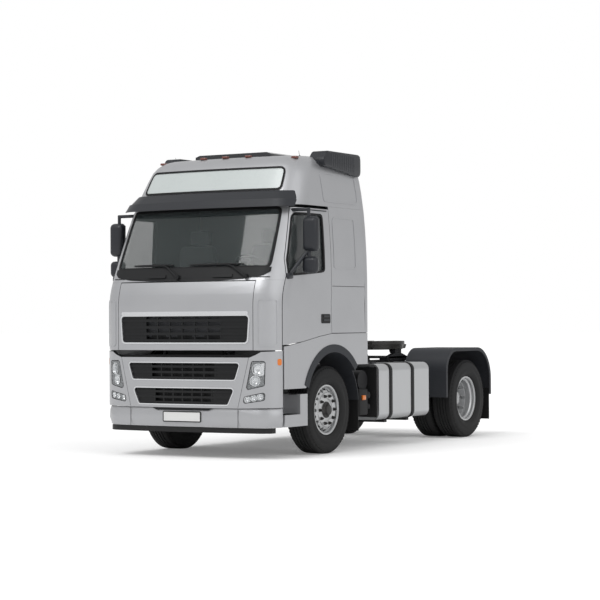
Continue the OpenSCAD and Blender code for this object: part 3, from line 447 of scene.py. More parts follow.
def add_skin(bm, outer, holes=(), depth=0.0, thick=0.003, lead=0.0, index=0, inner=None):
    """Adds a panel on the cab's skin: its outline, its holes, and how far in it lies."""
    part = bmesh.new()
    for loop in [outer, *holes]:
        verts = [part.verts.new((r, z, 0)) for r, z in loop]
        for a, b in zip(verts, verts[1:] + verts[:1]):
            part.edges.new((a, b))
    bmesh.ops.triangle_fill(part, use_beauty=True, use_dissolve=False, edges=part.edges[:])
    runs, heights = zip(*outer)
    cuts = [BOW_X, -BOW_X, SIDE_RUN, -SIDE_RUN]
    cuts += [k * RUN_STEP for k in range(math.ceil(min(runs) / RUN_STEP),
                                         math.floor(max(runs) / RUN_STEP) + 1)
             if abs(k * RUN_STEP) < SIDE_RUN + RUN_STEP]
    levels = [z for z, _ in NARROWING + LEAN] + [k * HEIGHT_STEP for k in range(60)]
    lines = [((r, 0, 0), (1, 0, 0)) for r in cuts if min(runs) < r < max(runs)]
    lines += [((0, z, 0), (0, 1, 0)) for z in levels
              if min(heights) + 0.002 < z < max(heights) - 0.002]
    for place, across in lines:
        bmesh.ops.bisect_plane(part, geom=whole(part), plane_co=place, plane_no=across)
    bmesh.ops.remove_doubles(part, verts=part.verts[:], dist=0.0001)
    inner = index if inner is None else inner
    for f in part.faces:
        f.material_index = index
    face = part.faces[:]
    pushed = bmesh.ops.extrude_face_region(part, geom=face, use_keep_orig=True)
    bmesh.ops.translate(part, vec=(0, 0, thick),
                        verts=[g for g in pushed["geom"] if isinstance(g, bmesh.types.BMVert)])
    outside = set(face)
    for f in part.faces:
        if f not in outside:
            f.material_index = inner
    for v in part.verts:
        v.co = skin_point(v.co.x, v.co.y, depth + v.co.z, lead)
    bmesh.ops.recalc_face_normals(part, faces=part.faces[:])
    join(bm, part)


def join(bm, part):
    """Moves all that is in part into bm."""
    mesh = bpy.data.meshes.new("scratch")
    part.to_mesh(mesh)
    part.free()
    bm.from_mesh(mesh)
    bpy.data.meshes.remove(mesh)


def whole(bm):
    """All the elements of a bmesh, as its operators take them."""
    return bm.verts[:] + bm.edges[:] + bm.faces[:]


def round_edges(bm, edges, offset, segments=2):
    bmesh.ops.bevel(bm, geom=edges, offset=offset, offset_type="OFFSET", segments=segments,
                    affect="EDGES", profile=0.5, material=-1)


def span(x, y, z):
    """Size and middle of the box between two places on each axis."""
    pairs = (x, y, z)
    return Vector([b - a for a, b in pairs]), Vector([(a + b) / 2 for a, b in pairs])


def add_box(bm, x, y, z, bevel=0.0, index=0, segments=2):
    """Adds a box between two places on each axis, with rounded edges."""
    part = bmesh.new()
    size, middle = span(x, y, z)
    bmesh.ops.create_cube(part, size=1, matrix=Matrix.Translation(middle)
                          @ Matrix.Diagonal((*size, 1)))
    if bevel:
        round_edges(part, part.edges[:], min(bevel, 0.45 * min(size)), segments)
    for f in part.faces:
        f.material_index = index
    join(bm, part)


def add_rod(bm, start, end, r0, r1=None, sides=24, bevel=0.0):
    """Adds a round rod or cone between two points."""
    start, end = Vector(start), Vector(end)
    part = bmesh.new()
    turn = (end - start).to_track_quat("Z", "Y").to_matrix().to_4x4()
    bmesh.ops.create_cone(part, cap_ends=True, segments=sides, radius1=r0,
                          radius2=r0 if r1 is None else r1, depth=(end - start).length,
                          matrix=Matrix.Translation((start + end) / 2) @ turn)
    if bevel:
        rims = [e for e in part.edges if any(len(f.verts) > 4 for f in e.link_faces)]
        round_edges(part, rims, bevel)
    join(bm, part)


def add_lathe(bm, profile, place, axis, steps=48):
    """Adds a turned shape: profile is (radius, height) pairs along the axis from place."""
    part = bmesh.new()
    verts = [part.verts.new((r, 0, h)) for r, h in profile]
    for a, b in zip(verts, verts[1:]):
        part.edges.new((a, b))
    bmesh.ops.spin(part, geom=part.verts[:] + part.edges[:], cent=(0, 0, 0), axis=(0, 0, 1),
                   angle=2 * math.pi, steps=steps, use_merge=True)
    bmesh.ops.remove_doubles(part, verts=part.verts[:], dist=0.00005)
    bmesh.ops.recalc_face_normals(part, faces=part.faces[:])
    turn = Vector(axis).to_track_quat("Z", "Y").to_matrix().to_4x4()
    bmesh.ops.transform(part, matrix=Matrix.Translation(place) @ turn, verts=part.verts[:])
    join(bm, part)


def add_prism(bm, outline, start, end, bevel):
    """Adds a flat outline of (y, z) pairs pushed from start to end along X."""
    part = bmesh.new()
    face = part.faces.new([part.verts.new((start, u, v)) for u, v in outline])
    pushed = bmesh.ops.extrude_face_region(part, geom=[face])
    bmesh.ops.translate(part, vec=(end - start, 0, 0),
                        verts=[g for g in pushed["geom"] if isinstance(g, bmesh.types.BMVert)])
    bmesh.ops.recalc_face_normals(part, faces=part.faces[:])
    round_edges(part, part.edges[:], bevel)
    join(bm, part)


def mirror_copy(bm, source):
    """Adds the mirror image of everything source adds."""
    part = bmesh.new()
    source(part)
    bmesh.ops.scale(part, vec=(-1, 1, 1), verts=part.verts[:])
    bmesh.ops.reverse_faces(part, faces=part.faces[:])
    join(bm, part)


def both_sides(bm, source):
    source(bm)
    mirror_copy(bm, source)


def twins(name, source, *looks):
    """A piece made of what source adds and its mirror image."""
    bm = bmesh.new()
    both_sides(bm, source)
    piece(name, bm, *looks)


# --- frame nodes that stay
def recoat_frame_nodes():
    """Gives the nodes that no piece replaces their finishes."""
    table = {
        CHASSIS: ["frame_rails", "crossmembers", "cab_mounts", "front_axle", "springs", "rear_axle",
                  "air_bellows", "box_brackets", "air_tanks", "coupling_base", "knuckle_left",
                  "knuckle_right", "track_rod", "deck_plate"],
        STEEL: ["coupling_plate"],
        CASTING: ["driveline"],
        BLACK: ["radiator", "bumper_lip", "steering_wheel", "mudflaps", "air_intake"],
        PAINT: ["steps", "side_panels", "cab_back"],
        TANK: ["fuel_tank"],
        BOX: ["side_boxes"],
        GUARD: ["wheel_arches", "rear_guards"],
        TRIM: ["cab_floor", "dashboard", "seat_bases", "bunk_base"],
        HATCH: ["roof_hatch"],
        RIM: ["front_rim_left", "front_rim_right", "rear_rims_left", "rear_rims_right"],
    }
    for material, nodes in table.items():
        for node in nodes:
            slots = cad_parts[node].data.materials
            slots.clear()
            slots.append(material)


# --- cab shell
WALL = 0.03


def ring(outline, inner, outer, radius=0.0):
    """An outline as a closed band: its outer loop and, as a hole, its inner loop."""
    base = fillet(outline, radius) if radius else outline
    return grown(base, outer), [grown(base, -inner)]


def emboss(bm, outline):
    """A raised line round an outline on the cab's skin, on both sides."""
    for points in pair(outline):
        add_skin(bm, *ring(points, 0.009, 0.009), depth=-0.005, thick=0.006)


def screen_outline(gap=0.0):
    side = run_at_angle(SCREEN_ANGLE)
    return both([(side - gap, GLASS_BOTTOM + gap), (side - gap, GLASS_TOP - gap)])


def cowl_edge():
    """Lower edge of the black cowl, from the middle to the right: it rises at the corner."""
    return [(0, COWL_BOTTOM), (0.5, COWL_BOTTOM + 0.004), (0.8, COWL_BOTTOM + 0.02),
            (run_at_angle(20), COWL_BOTTOM + 0.055), (run_at_angle(33), COWL_BOTTOM + 0.1)]


def cab_front():
    bm = bmesh.new()
    pillar = along(PILLAR, -SEAM / 2)
    add_skin(bm, both(edge(pillar, COWL_BOTTOM, SKIN_TOP)), [fillet(screen_outline(-0.004), 0.06)],
             thick=WALL, inner=1)
    corner = (edge(pillar, LID_BOTTOM, COWL_BOTTOM - 0.001)
              + edge(at_run(BOW_X + SEAM), COWL_BOTTOM - 0.001, LID_BOTTOM))
    for points in pair(corner):
        add_skin(bm, points, thick=WALL, inner=1)
    add_skin(bm, both([(run_at_angle(60), FLOOR_Z + 0.001), (run_at_angle(60), COWL_BOTTOM)]),
             depth=0.062, thick=0.018, index=1)
    piece("cab_front_panels", bm, [PAINT, TRIM], "cab", "silver_paint", ["cab_front"])

    bm = bmesh.new()
    emboss(bm, fillet(box_outline(run_at_angle(16), run_at_angle(56), 1.3, 1.83), 0.04))
    piece("corner_embossing", bm, PAINT, "cab", "silver_paint")

    bm = bmesh.new()
    half = cowl_edge() + [(run_at_angle(33), GLASS_BOTTOM + 0.012)]
    cowl = mirrored(half[1:]) + half
    add_skin(bm, cowl, depth=-0.006, thick=0.008)
    for k in range(9):
        add_skin(bm, box_outline(*about(-1.0 + 0.25 * k, 0.1), 2.085, 2.092), depth=-0.008,
                 thick=0.003)
    piece("cowl", bm, BLACK, "cab", "black_plastic")

    bm = bmesh.new()
    add_skin(bm, *ring(screen_outline(), 0.028, 0.006, 0.07), depth=-0.002, thick=0.012)
    piece("screen_seal", bm, SEAL, "cab", "black_plastic")
    bm = bmesh.new()
    add_skin(bm, fillet(screen_outline(0.004), 0.06), depth=0.006, thick=0.006)
    piece("screen", bm, SCREEN, "cab", "screen_glass", ["windscreen"])


PIVOT_Z, BLADE_Z = 2.095, 2.24


def wipers():
    """Two blades along the foot of the screen, each on an arm that slants down to its pivot."""
    bm = bmesh.new()

    def at(run, z, out):
        return skin_point(run, z, -out)

    for pivot, joint, start, end in ((-0.097, -0.36, -0.786, -0.207), (0.814, 0.53, 0.028, 0.756)):
        add_rod(bm, at(pivot, PIVOT_Z, 0.0), at(pivot, PIVOT_Z, 0.05), 0.03, 0.024, bevel=0.003)
        elbow = at(joint + 0.09, 2.215, 0.04)
        add_rod(bm, at(pivot, PIVOT_Z, 0.038), elbow, 0.016, 0.011, sides=12)
        add_rod(bm, elbow, at(joint, 2.242, 0.03), 0.009, sides=10)
        steps = 10
        for k in range(steps):
            a, b = (start + (end - start) * t / steps for t in (k, k + 1))
            thick = 0.009 + 0.005 * math.sin(math.pi * (k + 0.5) / steps)
            add_rod(bm, at(a, BLADE_Z, 0.018), at(b, BLADE_Z, 0.018), thick, sides=8)
        add_skin(bm, fillet(box_outline(pivot - 0.44, pivot - 0.18, 2.09, 2.125), 0.01),
                 depth=-0.022, thick=0.02)
    piece("wipers", bm, BLACK, "cab", "black_plastic")


def cab_sides():
    bm = bmesh.new()
    for p in pair(side_patch(FRONT_AXLE_Y + DOOR_BACK + SEAM, CAB_BACK_Y - 0.061,
                             FLOOR_Z + 0.001, ROOF_BOTTOM - 0.001)):
        add_skin(bm, p, thick=WALL, inner=1)
    piece("cab_side_panels", bm, [PAINT, TRIM], "cab", "silver_paint", ["cab_sides"])
    bm = bmesh.new()
    # Dark strips along the cab's foot and at its corners just above the bumper: painted shade that
    # fills the gaps between the cab and the chassis.
    foot = [(run_at_y(-0.8, 1.43), 1.427), (run_at_y(CAB_BACK_Y - 0.004, 1.43), 1.427),
            (run_at_y(CAB_BACK_Y - 0.004, 1.45), 1.452), (run_at_y(-0.8, 1.45), 1.452)]
    reach, end = run_at_angle(40), run_at_angle(89)
    for p in (*pair(foot), *pair(box_outline(reach, end, 1.25, 1.31))):
        add_skin(bm, p, depth=0.012, thick=0.014)
    piece("cab_gap_shade_strips", bm, SEAL, "cab", "black_plastic")
    bm = bmesh.new()
    emboss(bm, fillet(side_patch(-1.47, -0.95, 2.21, 2.81), 0.06))
    emboss(bm, fillet(side_patch(-1.62, -0.8, 3.0, 3.34), 0.07))
    for p in pair(side_patch(FRONT_AXLE_Y - 0.03, CAB_BACK_Y - 0.07, 1.989, 1.995)):
        add_skin(bm, p, depth=-0.001, thick=0.003, index=1)
    piece("side_embossing", bm, [PAINT, SEAL], "cab", "silver_paint")


def roof():
    bm = bmesh.new()
    back = at_y(CAB_BACK_Y - 0.0605)
    add_skin(bm, both(edge(back, ROOF_BOTTOM, ROOF_TOP)), thick=WALL, inner=1)
    part = bmesh.new()
    end = back(ROOF_TOP)
    runs = [k * 0.05 for k in range(int(end / 0.05) + 1)] + [end]
    cap = part.faces.new([part.verts.new(skin_point(r, ROOF_TOP))
                          for r in [-r for r in reversed(runs[1:])] + runs])
    part.normal_update()
    if cap.normal.z < 0:
        bmesh.ops.reverse_faces(part, faces=[cap])
    bmesh.ops.inset_region(part, faces=[cap], thickness=0.05)
    bmesh.ops.triangulate(part, faces=[f for f in part.faces if len(f.verts) > 4])
    join(bm, part)
    bmesh.ops.remove_doubles(bm, verts=bm.verts[:], dist=0.0004)
    piece("roof_shell", bm, [PAINT, TRIM], "cab", "silver_paint", ["roof"])

    bm = bmesh.new()

    def roof_lamp(target, x, y, z):
        add_box(target, about(x, 0.04), (y - 0.02, y + 0.04), (z, z + 0.028), 0.012)

    def lamps(target):
        roof_lamp(target, 0.939, -1.884, 3.5)
        roof_lamp(target, 0.32, -1.93, 3.535)
    both_sides(bm, lamps)
    roof_lamp(bm, 0.0, -1.94, 3.537)
    piece("marker_lamps", bm, ROOF_LENS, "cab", "lamp_clear")

    def aerial(target):
        base = Vector((0.887, -1.678, 3.5))
        add_rod(target, base, base + Vector((0, 0, 0.05)), 0.022, 0.012, bevel=0.004)
        add_rod(target, base + Vector((0, 0, 0.045)), base + Vector((0, -0.02, 0.105)), 0.003,
                0.002, sides=10)
    twins("aerials", aerial, BLACK, "cab", "black_plastic")

    end_y = CAB_BACK_Y - 0.01

    def duct(target):
        outline = fillet([(end_y, 3.61), (INTAKE_Y + 0.1, 3.61), (INTAKE_Y, 3.5),
                          (INTAKE_Y + 0.03, 3.43), (end_y, 3.327)], 0.07, 6)
        add_prism(target, outline, 0.95, 1.168, 0.014)
    twins("intake_ducts", duct, CHARCOAL, "cab", "black_plastic", ["air_intake"])

    def louvres(target):
        for k in range(13):
            y = INTAKE_Y + 0.2 + 0.045 * k
            low = 3.4 - 0.06 * k / 12
            add_box(target, (1.163, 1.17), (y, y + 0.02), (low + 0.03, 3.575), 0.003)
        add_box(target, (1.163, 1.17), (INTAKE_Y + 0.18, end_y - 0.02), (3.582, 3.592), 0.003)
    twins("intake_louvres", louvres, CHARCOAL, "cab", "black_plastic")


VISOR_HALF = 1.236


def visor():
    bm = bmesh.new()
    side = run_at_angle(54)
    upper = fillet(both([(side, 2.99), (side - 0.03, 3.1)]), 0.02)
    lower = fillet(both([(side - 0.02, 2.906), (side, 3.0)]), 0.02)
    add_visor_band(bm, lower, 2.906, 3.0, 0.112, 0.098)
    add_visor_band(bm, upper, 2.99, 3.1, 0.086, 0.03)
    piece("visor", bm, CHARCOAL, "cab", "black_plastic", ["sun_visor"])


def add_visor_band(bm, outline, z0, z1, out0, out1):
    """A band of the visor, which stands off the cab by out0 at its foot and out1 at its top."""
    part = bmesh.new()
    add_skin(part, outline, thick=0.016)
    for v in part.verts:
        share = min(1, max(0, (v.co.z - z0) / (z1 - z0)))
        flat = Vector((v.co.x, v.co.y - (CORNER_Y + 0.9 + lookup(LEAN, v.co.z)), 0))
        v.co += flat.normalized() * (out0 + (out1 - out0) * share)
        v.co.x = max(-VISOR_HALF, min(VISOR_HALF, v.co.x))
    join(bm, part)


def sign():
    outline = both([(run_at_angle(20.5), 3.118), (run_at_angle(24), 3.388)])
    bm = bmesh.new()
    add_skin(bm, fillet(outline, 0.05), depth=-0.008, thick=0.01)
    piece("sign_panel", bm, SIGN, "cab", "sign_white", ["roof_sign"])
    bm = bmesh.new()
    add_skin(bm, *ring(outline, 0.014, 0.01, 0.055), depth=-0.014, thick=0.016)
    piece("sign_frame", bm, SEAL, "cab", "black_plastic")


# --- grilles
# Share of a grille's width that has upright ribs, and their count on each side
RIBS_SHARE, RIBS = 0.6, 3


def slatted(bm, z0, z1, half0, half1, depth, slats, lead=0.0):
    """Fills a trapezoid opening with slats, with upright ribs in the middle of its width."""
    step = (z1 - z0) / slats

    def half_at(z):
        return half0 + (half1 - half0) * (z - z0) / (z1 - z0)
    for k in range(slats):
        low = z0 + step * (k + 0.12)
        high = low + step * 0.4
        a, b = half_at(low), half_at(high)
        add_skin(bm, [(-a, low), (a, low), (b, high), (-b, high)], depth=depth, thick=0.02,
                 lead=lead)
    reach = half_at((z0 + z1) / 2) * RIBS_SHARE
    for k in range(-RIBS, RIBS + 1):
        add_skin(bm, box_outline(*about(reach * k / RIBS, 0.009), z0, z1), depth=depth + 0.004,
                 thick=0.014, lead=lead)
    for s in (-1, 1):
        inner, low, high = s * reach, s * half_at(z0), s * half_at(z1)
        plate = [(inner, z0), (low, z0), (high, z1), (inner, z1)]
        add_skin(bm, plate if s > 0 else plate[::-1], depth=depth + 0.008, thick=0.01, lead=lead)
    add_skin(bm, [(-half0, z0), (half0, z0), (half1, z1), (-half1, z1)], depth=depth + 0.06,
             thick=0.004, lead=lead)


UPPER = (1.336, 1.645, 0.868, 0.892)
LOWER = ((0.909, 1.103, 0.712, 0.778), (0.624, 0.811, 0.62, 0.706))


def trapezoid(g, by=0.0):
    z0, z1, a, b = g
    return grown([(-a, z0), (a, z0), (b, z1), (-b, z1)], by)


def lid():
    bm = bmesh.new()
    side = BOW_X - 0.0005
    outer = both([(side, LID_BOTTOM + 0.001), (side, LID_TOP - 0.001)])
    hole = fillet(trapezoid(UPPER, 0.002), 0.04)
    add_skin(bm, outer, [hole], thick=0.024, inner=1)
    piece("lid_panel", bm, [PAINT, BLACK], "front_lid", "silver_paint", ["front_lid"])
    bm = bmesh.new()
    slatted(bm, *UPPER, depth=0.006, slats=4)
    piece("upper_grille", bm, BLACK, "front_lid", "black_plastic")
    bm = bmesh.new()
    bar = fillet(box_outline(-0.885, 0.885, 1.65, 1.697), 0.022)
    add_skin(bm, bar, depth=-0.0075, thick=0.012)
    add_skin(bm, *ring(trapezoid(UPPER), 0.002, 0.016, 0.04), depth=-0.007, thick=0.03)
    piece("grille_surround", bm, BRIGHT, "front_lid", "silver_paint")


# --- bumper
HEADLAMP = [(0.848, 0.79), (1.074, 0.842), (1.083, 1.128), (0.922, 1.128)]
FOGLAMP = [(0.811, 0.636), (1.073, 0.677), (1.081, 0.775), (0.828, 0.722)]
CORNER_END = run_at_angle(67.5)
# Run where the bumper's corners meet its middle, at the split
CORNER_START = run_at_x(0.75)


def on_bumper(points):
    return [(run_at_x(x), z) for x, z in points]


def add_face(bm, outer, holes=(), depth=0.0, thick=0.003, index=0, inner=None):
    """Adds a panel on the bumper's face."""
    add_skin(bm, outer, holes, depth, thick, BUMPER_LEAD, index, inner)


def bumper():
    bm = bmesh.new()
    corner_top = [(run_at_x(0.9), BUMPER_TOP), (run_at_angle(13), BUMPER_TOP + 0.03),
                  (run_at_angle(24), BUMPER_TOP + 0.064), (CORNER_END, BUMPER_TOP + 0.072)]
    half = [(CORNER_END, BUMPER_SPLIT + 0.012)] + corner_top[::-1]
    outer = both([(CORNER_START, BUMPER_SPLIT + 0.002)] + half)
    holes = [fillet(trapezoid(g, 0.002), 0.03) for g in LOWER]
    holes += [fillet(p, 0.03) for lamp in (HEADLAMP, FOGLAMP) for p in pair(on_bumper(lamp))]
    add_face(bm, outer, holes, thick=0.04, inner=1)
    piece("bumper_panel", bm, [PAINT, BLACK], "chassis", "silver_paint", ["bumper"])

    bm = bmesh.new()
    low = both([(CORNER_START, 0.364), (CORNER_END, 0.364), (CORNER_END, BUMPER_SPLIT),
                (CORNER_START, BUMPER_SPLIT)])
    add_face(bm, low, thick=0.04)
    for v in bm.verts:
        tuck = 0.022 * ((v.co.z - 0.48) / 0.11) ** 2
        v.co.x *= 1 - tuck / CAB_HALF
        v.co.y += tuck
    piece("bumper_lower_panel", bm, PAINT, "chassis", "silver_paint", ["bumper_lower"])
    bm = bmesh.new()
    for g in LOWER:
        slatted(bm, *g, depth=0.014, slats=3, lead=BUMPER_LEAD)
    piece("bumper_grilles", bm, BLACK, "chassis", "black_plastic", ["lower_grilles"])
    bm = bmesh.new()
    for g in LOWER:
        add_face(bm, *ring(trapezoid(g), 0.002, 0.01, 0.03), depth=-0.004, thick=0.02)
    piece("bumper_grille_frames", bm, BRIGHT, "chassis", "silver_paint")

    bm = bmesh.new()
    (r0, r1), (r2, r3) = about(CORNER_START, 0.002), about(run_at_x(0.89), 0.002)
    seam = [(r0, 0.592), (r1, 0.592), (r3, 1.165), (r2, 1.165)]
    for side, line in zip((1, -1), pair(seam)):
        add_face(bm, line, depth=-0.0005)
        add_face(bm, box_outline(*about(side * CORNER_START, 0.002), 0.362, 0.582), depth=-0.0005)
    add_face(bm, [(-0.36, 0.556), (0.36, 0.556), (0.42, 0.582), (-0.42, 0.582)], depth=-0.002,
             thick=0.004)
    # A dark sheet behind the bumper's top edge: painted shade in the gap below the lid.
    reach = run_at_angle(60)
    add_skin(bm, box_outline(-reach, reach, 1.12, BUMPER_TOP + 0.03), depth=0.042, thick=0.008)
    piece("bumper_seams_and_gap_shade", bm, SEAL, "chassis", "black_plastic")
    bm = bmesh.new()
    plate = fillet(box_outline(-0.26, 0.26, 0.4225, 0.5375), 0.012)
    add_face(bm, plate, depth=-0.004, thick=0.006)
    add_face(bm, *ring(plate, 0.006, 0.006), depth=-0.006, thick=0.008, index=1)
    piece("plate", bm, [PLATE, BLACK], "chassis", "sign_white")


def lamp_bowl(bm, x, z, radius, depth=0.035):
    """A round reflector with its opening just inside the bumper's face."""
    place = skin_point(run_at_x(x), z, 0.012, BUMPER_LEAD)
    out = Vector((math.copysign(0.45, x), -1, 0)).normalized()
    profile = [(radius, 0), (radius * 0.97, -0.004), (radius * 0.8, -0.6 * depth),
               (radius * 0.45, -0.92 * depth), (0.0005, -depth)]
    add_lathe(bm, profile, place, out, steps=36)
    rim = [(radius, -0.002), (radius + 0.006, -0.002), (radius + 0.006, 0.006), (radius, 0.006),
           (radius, -0.002)]
    add_lathe(bm, rim, place, out, steps=36)


def headlamps():
    def pods(target):
        for points in (on_bumper(HEADLAMP), on_bumper(FOGLAMP)):
            add_face(target, fillet(grown(points, -0.002), 0.028), depth=0.05, thick=0.006, index=1)
            add_face(target, *ring(points, 0.008, 0.001, 0.03), depth=0.002, thick=0.05, index=1)
        lamp_bowl(target, 1.0, 1.03, 0.062)
        lamp_bowl(target, 0.965, 0.9, 0.055)
        inner = [(1.01, 0.955), (1.065, 0.965), (1.072, 1.1), (1.04, 1.1)]
        add_face(target, on_bumper(inner), depth=0.02, thick=0.004)
        for x in (0.865, 0.945, 1.022):
            lamp_bowl(target, x, 0.69 + 0.17 * (x - 0.865), 0.03, 0.022)
    twins("lamp_reflectors", pods, [CHROME, BLACK], "chassis", "lamp_clear", ["headlamps"])

    def lenses(target):
        ball = bmesh.new()
        place = skin_point(run_at_x(0.965), 0.9, 0.03, BUMPER_LEAD)
        bmesh.ops.create_uvsphere(ball, u_segments=24, v_segments=12, radius=0.03,
                                  matrix=Matrix.Translation(place))
        join(target, ball)
        for points in (HEADLAMP, FOGLAMP):
            add_face(target, fillet(grown(on_bumper(points), -0.003), 0.027), depth=0.002)
    twins("lamp_covers", lenses, LENS, "chassis", "lamp_clear")

    def markers(target):
        a, b = run_at_angle(56), run_at_angle(65)
        add_face(target, fillet(box_outline(a, b, 1.075, 1.15), 0.02), depth=-0.003, thick=0.006)
    twins("side_markers", markers, AMBER, "chassis", "lamp_clear")


# --- doors
def door_outline():
    front = along(PILLAR, SEAM)
    back = at_y(FRONT_AXLE_Y + DOOR_BACK)
    sill = []
    for dy, z in SILL[:4]:
        z = max(z, DOOR_BOTTOM)
        r = run_at_y(FRONT_AXLE_Y + dy, z)
        if front(z) < r < back(z):
            sill.append((r, z))
    return ([(front(DOOR_BOTTOM), DOOR_BOTTOM)] + sill + [(back(1.43), DOOR_FOOT_BACK)]
            + edge(back, DOOR_FOOT_BACK, DOOR_TOP)[1:] + edge(front, DOOR_TOP, DOOR_BOTTOM)[:-1])


def window_outline():
    front = along(QUARTER)
    back = at_y(FRONT_AXLE_Y + WINDOW_BACK)
    sill = [(run_at_angle(80), 2.108), (run_at_angle(90), 2.106), (SIDE_RUN + 0.3, 2.126),
            (SIDE_RUN + 0.6, 2.15)]
    return ([(front(2.11), 2.11)] + [p for p in sill if p[0] < back(2.15) - 0.05]
            + edge(back, 2.165, 2.838) + edge(front, 2.838, 2.11)[:-1])


def door(side):
    name = "door_left" if side > 0 else "door_right"

    def place(points):
        return points if side > 0 else mirrored(points)

    bm = bmesh.new()
    window = fillet(window_outline(), 0.09)
    add_skin(bm, place(door_outline()), [place(window)], thick=0.045, inner=1)
    piece(name + "_panel", bm, [PAINT, TRIM], name, "silver_paint", [name])

    bm = bmesh.new()
    outer, holes = ring(window, 0.022, 0.004)
    add_skin(bm, place(outer), [place(h) for h in holes], depth=-0.001, thick=0.02)
    piece(name + "_seal", bm, SEAL, name, "black_plastic")
    bm = bmesh.new()
    add_skin(bm, place(grown(window, -0.004)), depth=0.02, thick=0.005)
    piece(name + "_glass", bm, DOOR_GLASS, name, "screen_glass")

    bm = bmesh.new()
    y0, y1 = -1.795, -1.584
    grip = fillet(side_patch(y0, y1, 1.55, 1.66), 0.02)
    add_skin(bm, place(grip), depth=-0.004, thick=0.012)
    for z in (1.578, 1.622):
        groove = fillet(side_patch(y0 + 0.05, y1 - 0.02, z, z + 0.022), 0.008)
        add_skin(bm, place(groove), depth=-0.009, thick=0.006, index=1)
    add_skin(bm, place(side_patch(-2.05, -1.6, 2.872, 2.884)), depth=-0.008, thick=0.01, index=1)
    piece(name + "_handle", bm, [BLACK, CHARCOAL], name, "black_plastic")

    door_mirror(name, side)


def door_mirror(name, side):
    mid_y = MIRROR_Y + 0.06
    bm = bmesh.new()
    housings = ((2.375, 2.79, 1.274, 1.47, 0.12), (2.125, 2.325, 1.27, 1.466, 0.11))

    def parts(target):
        for z0, z1, x0, x1, deep in housings:
            part = bmesh.new()
            add_box(part, (x0, x1), (MIRROR_Y, MIRROR_Y + deep), (z0, z1), 0.05, segments=6)
            for v in part.verts:
                bulge = 1 - (v.co.y - MIRROR_Y) / deep
                middle = Vector(((x0 + x1) / 2, v.co.y, (z0 + z1) / 2))
                v.co = v.co.lerp(middle, 0.12 * bulge * bulge)
            join(target, part)
        add_rod(target, (1.35, mid_y, 2.3), (1.35, mid_y, 2.4), 0.024)
        add_rod(target, (1.1, mid_y, 2.868), (1.352, mid_y, 2.868), 0.02, bevel=0.004)
        add_rod(target, (1.345, mid_y, 2.74), (1.345, mid_y, 2.886), 0.02, bevel=0.004)
        add_rod(target, (1.2, FRONT_AXLE_Y - 0.98, 2.09), (1.335, mid_y, 2.395), 0.021)
        add_box(target, (1.19, 1.245), (-2.54, -2.42), (2.06, 2.13), 0.02, segments=3)
        for z0, z1, x0, x1, deep in housings:
            add_box(target, (x0 + 0.02, x1 - 0.02), (MIRROR_Y + deep - 0.002, MIRROR_Y + deep),
                    (z0 + 0.03, z1 - 0.03), index=1)
    if side > 0:
        parts(bm)
    else:
        mirror_copy(bm, parts)
    piece(name + "_mirror", bm, [CHARCOAL, MIRROR], name, "black_plastic")


# --- wheels
def tyre_profile():
    """Closed section of a tyre, as (radius, place across it), with four tread grooves."""
    w, b = TYRE_HALF, RIM_HALF - 0.014
    bead = RIM_R - 0.013
    side = [(bead + 0.0003, b), (RIM_R + 0.004, b + 0.003), (RIM_R + 0.012, b + 0.02),
            (RIM_R + 0.03, w - 0.014), (RIM_R + 0.06, w - 0.003), (RIM_R + 0.09, w),
            (RIM_R + 0.094, w - 0.002), (RIM_R + 0.13, w - 0.001), (RIM_R + 0.15, w - 0.002),
            (TYRE_R - 0.05, w - 0.006), (TYRE_R - 0.024, w - 0.016), (TYRE_R - 0.008, w - 0.028)]
    tread = [(TYRE_R - 0.003, w - 0.033)]
    groove, deep = 0.0055, 0.013
    for centre in (0.062, 0.0215, -0.0215, -0.062):
        tread += [(TYRE_R, centre + groove + 0.001), (TYRE_R - deep, centre + groove - 0.001),
                  (TYRE_R - deep, centre - groove + 0.001), (TYRE_R, centre - groove - 0.001)]
    tread.append((TYRE_R - 0.003, 0.033 - w))
    return side + tread + [(r, -h) for r, h in reversed(side)]


def angles(count, start=0.0):
    return [2 * math.pi * (k + start) / count for k in range(count)]


def add_tyre(bm, x, y):
    add_lathe(bm, tyre_profile(), (x, y, AXLE_Z), (1, 0, 0), steps=120)
    for a in angles(60):
        turn = Matrix.Translation((x, y, AXLE_Z)) @ Matrix.Rotation(a, 4, "X")
        part = bmesh.new()
        for s in (-1, 1):
            bmesh.ops.create_cube(part, size=1, matrix=Matrix.Translation(
                (s * (TYRE_HALF - 0.022), 0, TYRE_R - 0.026)) @ Matrix.Rotation(
                    s * math.radians(38), 4, "Y") @ Matrix.Diagonal((0.03, 0.028, 0.016, 1)))
        bmesh.ops.transform(part, matrix=turn, verts=part.verts[:])
        join(bm, part)


def wheel_set(body, x_places, y, node, face_x, out):
    """Tyres, nuts and flange of the wheels on one body; out is the way they face."""
    bm = bmesh.new()
    for x in x_places:
        add_tyre(bm, x, y)
    piece(body + "_tyre", bm, RUBBER, body, "tyre_rubber", [node])
    bm = bmesh.new()
    for a in angles(10):
        place = Vector((face_x, y + BOLT_R * math.cos(a), AXLE_Z + BOLT_R * math.sin(a)))
        for reach, r0, r1, sides, bevel in ((0.016, 0.021, 0.021, 20, 0.002),
                                            (0.036, 0.0175, 0.016, 6, 0),
                                            (0.046, 0.009, 0.008, 12, 0)):
            add_rod(bm, place, place + Vector((out * reach, 0, 0)), r0, r1, sides, bevel)
    piece(body + "_nuts", bm, STEEL, body, "rim_steel")
    bm = bmesh.new()
    flange = [(0.206, -0.002), (0.2, 0.01), (0.136, 0.01), (0.128, -0.002), (0.206, -0.002)]
    add_lathe(bm, flange, (face_x, y, AXLE_Z), (out, 0, 0), steps=96)
    piece(body + "_flange", bm, RIM, body, "rim_steel")


